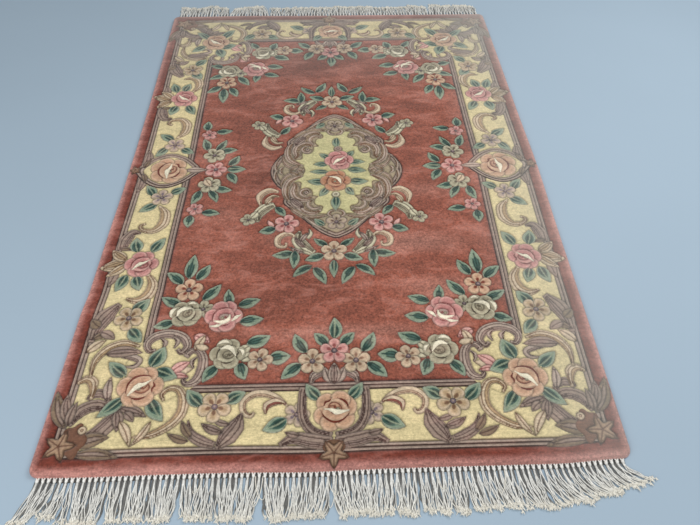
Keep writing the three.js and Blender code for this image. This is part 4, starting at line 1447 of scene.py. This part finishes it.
class Fringe:
    """The knots and strands of one end of the rug, collected as closed bodies."""

    def __init__(self, clumps, end):
        scene = bpy.context.scene
        self.settings, self.clumps, self.end = scene.rug_fringe, clumps, end
        self.cotton, self.tip_tint = np.array(scene.rug_dyes.cotton), np.array(scene.rug_dyes.cotton_tip)
        self.chance = np.random.default_rng(41 + end)
        self.points, self.loops, self.counts, self.tints = [], [], [], []
        self.total = 0

    def add(self, shape, tint):
        """Adds a closed body, with one tint or with a tint for each of its points."""
        body, quads, caps = shape
        self.points.append(body)
        self.tints.append(np.broadcast_to(tint, (len(body), 3)))
        for face in [*quads, *caps]:
            self.loops.extend((np.asarray(face) + self.total).tolist())
            self.counts.append(len(face))
        self.total += len(body)

    def gather(self, index):
        """A knot gathers a few warps, which hang loose beyond it."""
        root_x = -FRINGE_HALF + 2 * FRINGE_HALF * index / self.settings.knots
        clump = next(c for c in self.clumps if c[0] <= root_x < c[1])
        shade = 0.92 + 0.08 * self.chance.random()
        self.tie(root_x, lock_path(index, root_x, clump, self.end, np.float64(0.0)), shade)
        strands = self.settings.strands
        spread = (np.arange(strands) + 0.5) / strands * 2 - 1
        layers = self.chance.permutation(strands) % len(LAYERS)
        sway = self.chance.normal(0, 3.5)
        share = np.linspace(0.0, 1.0, STRAND_STATIONS)
        for number in range(strands):
            length = self.chance.uniform(0.84, 1.05)
            x, y = lock_path(index, root_x, clump, self.end, share * min(length, 1.0))
            # A strand longer than its knot's lock runs on past it.
            y = y + self.end * (3.5 + 90 * max(length - 1.0, 0.0) * share ** 3)
            x = x + self.drift(share, spread[number], layers[number], sway)
            self.hang(number, share, x, y, layers[number], shade)

    def tie(self, root_x, knot_at, shade):
        """A knot, and the two warps that run into it from the rug's end."""
        knot_x, knot_y = knot_at
        lean = self.chance.uniform(-1.2, 1.2)
        t = np.array(KNOT_SHARES)
        spine = np.stack([knot_x + lean * t, knot_y + self.end * KNOT_HALF * t, np.full(len(t), 3.2)], axis=1)
        knot = tube(spine, np.array(KNOT_RADII) * self.chance.uniform(0.92, 1.06), 7)
        knot[0][:, 2] = np.clip(knot[0][:, 2], 0.1, 6.6)
        self.add(knot, self.cotton * shade)
        for side in (-1, 1):
            edge_x, edge_y = lie(np.float64(root_x + side * 3.9), np.float64(self.end * (HALF_Y - 2)))
            warp = np.array([[edge_x, edge_y, 3.4],
                             [(edge_x * 2 + knot_x) / 3, knot_y - self.end * 5, 3.4],
                             [knot_x + side * 1.4, knot_y - self.end * 2, 3.2]])
            self.add(tube(warp, (2.3, 2.2, 1.6), 4), self.cotton * shade)

    def drift(self, share, side, layer, sway):
        """How far a strand strays sideways from its knot's lock: it fans out, leans and waves."""
        chance = self.chance
        fan_near, fan_far = LAYERS[layer][:2]
        fan = side * (fan_near + fan_far * smooth_step(share, 0.03, 0.42))
        # One strand in twenty lies right across its neighbours.
        stray = chance.uniform(-26, 26) if chance.random() < 0.05 else 0.0
        fan = fan + (sway + stray + chance.normal(0, 4.0)) * smooth_step(share, 0.15, 1.0)
        wave = np.sin(share * chance.uniform(3, 12) + chance.uniform(0, 6.3)) * chance.uniform(1.5, 5.0)
        return fan + wave * smooth_step(share, 0.05, 0.45)

    def hang(self, number, share, x, y, layer, shade):
        """A twisted strand along its path, with painted shade giving way to a painted highlight towards its
        tip, where it yellows, and with its end frayed.
        """
        half, (thickness, depth) = self.settings.strand / 2, LAYERS[layer][2:]
        z = (half + (2.4 - half) * (1 - smooth_step(share, 0, 0.25))
             + LAYER_RISE * layer * smooth_step(share, -0.3, 0.4))
        width = half * thickness * (1 - 0.1 * share) * (1 + 0.08 * np.sin(share * 60 + number))
        tipped = (share ** 2 * self.chance.uniform(0.5, 1.0))[:, None]
        # Painted light: the lower layers are painted darker as if shaded by the strands above, and every
        # strand is painted up to a tenth brighter at its tip, a painted highlight.
        lit = (depth + (1.1 - depth) * smooth_step(share, 0.72, 1.0))[:, None]
        tint = (self.cotton + (self.tip_tint - self.cotton) * tipped) * lit
        tint = tint * shade * self.chance.uniform(0.9, 1.0)
        self.add(tube(np.stack([x, y, z], 1), width, 4, flat=0.25), np.repeat(tint, 4, axis=0))
        for _ in range(FRAYS):
            self.fray(np.array([x[-1], y[-1], z[-1]]))

    def fray(self, tip):
        """One thin end that comes loose from a strand just before its tip."""
        chance, end = self.chance, self.end
        go = np.array([chance.uniform(-6.0, 6.0), end * chance.uniform(2, 9), chance.uniform(-0.6, 0.4)])
        start = tip + (0.0, -end * chance.uniform(0, 6), 0.8)
        self.add(tube(start + np.linspace(0, 1, 3)[:, None] * go, (1.6, 1.3, 0.7), 3), self.tip_tint)

    def curl_back(self):
        """Single strands that curl over the others."""
        t = np.linspace(0.0, 1.0, 10)
        for curl_x, drop, sideways in CURLS:
            x, y = lie(curl_x + sideways * (1 - np.cos(math.pi * t)) / 2,
                       self.end * (HALF_Y + KNOT_OUT + 3 + drop * np.sin(0.7 * math.pi * t)))
            curl = np.stack([x, y, np.full(len(t), 5.6)], 1)
            self.add(tube(curl, np.linspace(1.2, 0.8, len(t)), 4), self.tip_tint)

    def lay_shadow_strip(self):
        """A strip shaped like the end of the weave behind the knots, painted near-black as the shadow of the
        pile and the knots.
        """
        x = np.linspace(-FRINGE_HALF - 6, FRINGE_HALF + 6, SHADOW_STRIP_STATIONS)
        edges = [np.stack([*lie(x, np.full(len(x), self.end * (HALF_Y + out))), np.full(len(x), z)], axis=1)
                 for out, z in SHADOW_STRIP_SECTION]
        spot = np.arange(len(edges) * len(x)).reshape(len(edges), len(x))[::self.end]
        wrap = np.roll(spot, -1, axis=0)
        quads = np.stack([spot[:, :-1], spot[:, 1:], wrap[:, 1:], wrap[:, :-1]], -1).reshape(-1, 4)
        # Painted shadow: the strip's cotton is darkened to a tenth.
        self.add((np.vstack(edges), quads, [spot[::-1, 0], spot[:, -1]]), self.cotton * SHADOW_STRIP_SHADE)

    def mesh_object(self, name):
        """All the bodies as one object, none of it below the floor."""
        points = np.vstack(self.points)
        points[:, 2] = np.maximum(points[:, 2], 0.05)
        piece = new_mesh_object(name, place_on_floor(points), self.loops, self.counts)
        colour = np.concatenate([np.vstack(self.tints), np.ones((self.total, 1))], axis=1)
        add_colours(piece, "cotton_tint", colour[np.asarray(self.loops)])
        return piece


def place_in_scene(name, data, at, look):
    """Puts a camera or a light at a place, facing along a direction."""
    item = bpy.data.objects.new(name, data)
    item.location = at
    item.rotation_mode = "QUATERNION"
    item.rotation_quaternion = Vector(look).to_track_quat("-Z", "Y")
    bpy.context.scene.collection.objects.link(item)
    return item


class RUG_OT_set_stage(bpy.types.Operator):
    """Lays the floor and sets the camera and the lights"""
    bl_idname = "rug.set_stage"
    bl_label = "Set stage"

    def execute(self, context):
        stage = context.scene.rug_stage
        half = stage.floor_half
        corners = np.array([(-half, -half, 0), (half, -half, 0), (half, half, 0), (-half, half, 0)])
        floor = new_mesh_object("studio_floor", corners, [0, 1, 2, 3], [4])
        floor.data.materials.append(floor_material(tuple(stage.floor)))
        offset = floor_offset()
        camera_at = (stage.camera_at[0] + offset[0] * MM, stage.camera_at[1] + offset[1] * MM,
                     stage.camera_at[2])
        camera = bpy.data.cameras.new("camera")
        camera.lens, camera.sensor_width = stage.lens, 36.0
        context.scene.camera = place_in_scene("camera", camera, camera_at, stage.look)
        for name, at, size, power in LIGHTS:
            light = bpy.data.lights.new(name, "AREA")
            light.size, light.energy = size, power
            place_in_scene(name, light, at, -Vector(at))
        world = bpy.data.worlds.new("soft_room")
        world.use_nodes = True
        background = world.node_tree.nodes["Background"]
        background.inputs["Color"].default_value = (*linear(ROOM_LIGHT[0]), 1)
        background.inputs["Strength"].default_value = ROOM_LIGHT[1]
        context.scene.world = world
        context.scene.view_settings.view_transform = "Standard"
        return {"FINISHED"}


OPERATORS = (RUG_OT_knot_pile, RUG_OT_knot_fringes, RUG_OT_weave_foundation, RUG_OT_set_stage)


class RUG_PT_maker(bpy.types.Panel):
    """The steps of making the rug"""
    bl_idname = "RUG_PT_maker"
    bl_label = "Rug"
    bl_space_type = "VIEW_3D"
    bl_region_type = "UI"
    bl_category = "Rug"

    def draw(self, context):
        for operator in OPERATORS:
            self.layout.operator(operator.bl_idname)
        for group_name, group in GROUPS.items():
            for name in group.__annotations__:
                self.layout.prop(getattr(context.scene, group_name), name)


GROUPS = {"rug_dyes": RugDyes, "rug_pile": PileSettings, "rug_fringe": FringeSettings,
          "rug_stage": StageSettings}
CLASSES = (*GROUPS.values(), *OPERATORS, RUG_PT_maker)


def register():
    """Registers the classes and the scene's settings."""
    for cls in CLASSES:
        bpy.utils.register_class(cls)
    for name, group in GROUPS.items():
        setattr(bpy.types.Scene, name, PointerProperty(type=group))


def unregister():
    """Removes the settings and the classes."""
    for name in GROUPS:
        delattr(bpy.types.Scene, name)
    for cls in reversed(CLASSES):
        bpy.utils.unregister_class(cls)


def main():
    """Makes the rug."""
    register()
    bpy.ops.rug.knot_pile()
    bpy.ops.rug.knot_fringes()
    bpy.ops.rug.weave_foundation()
    bpy.ops.rug.set_stage()
    bpy.context.view_layer.update()


if __name__ == "__main__":
    main()
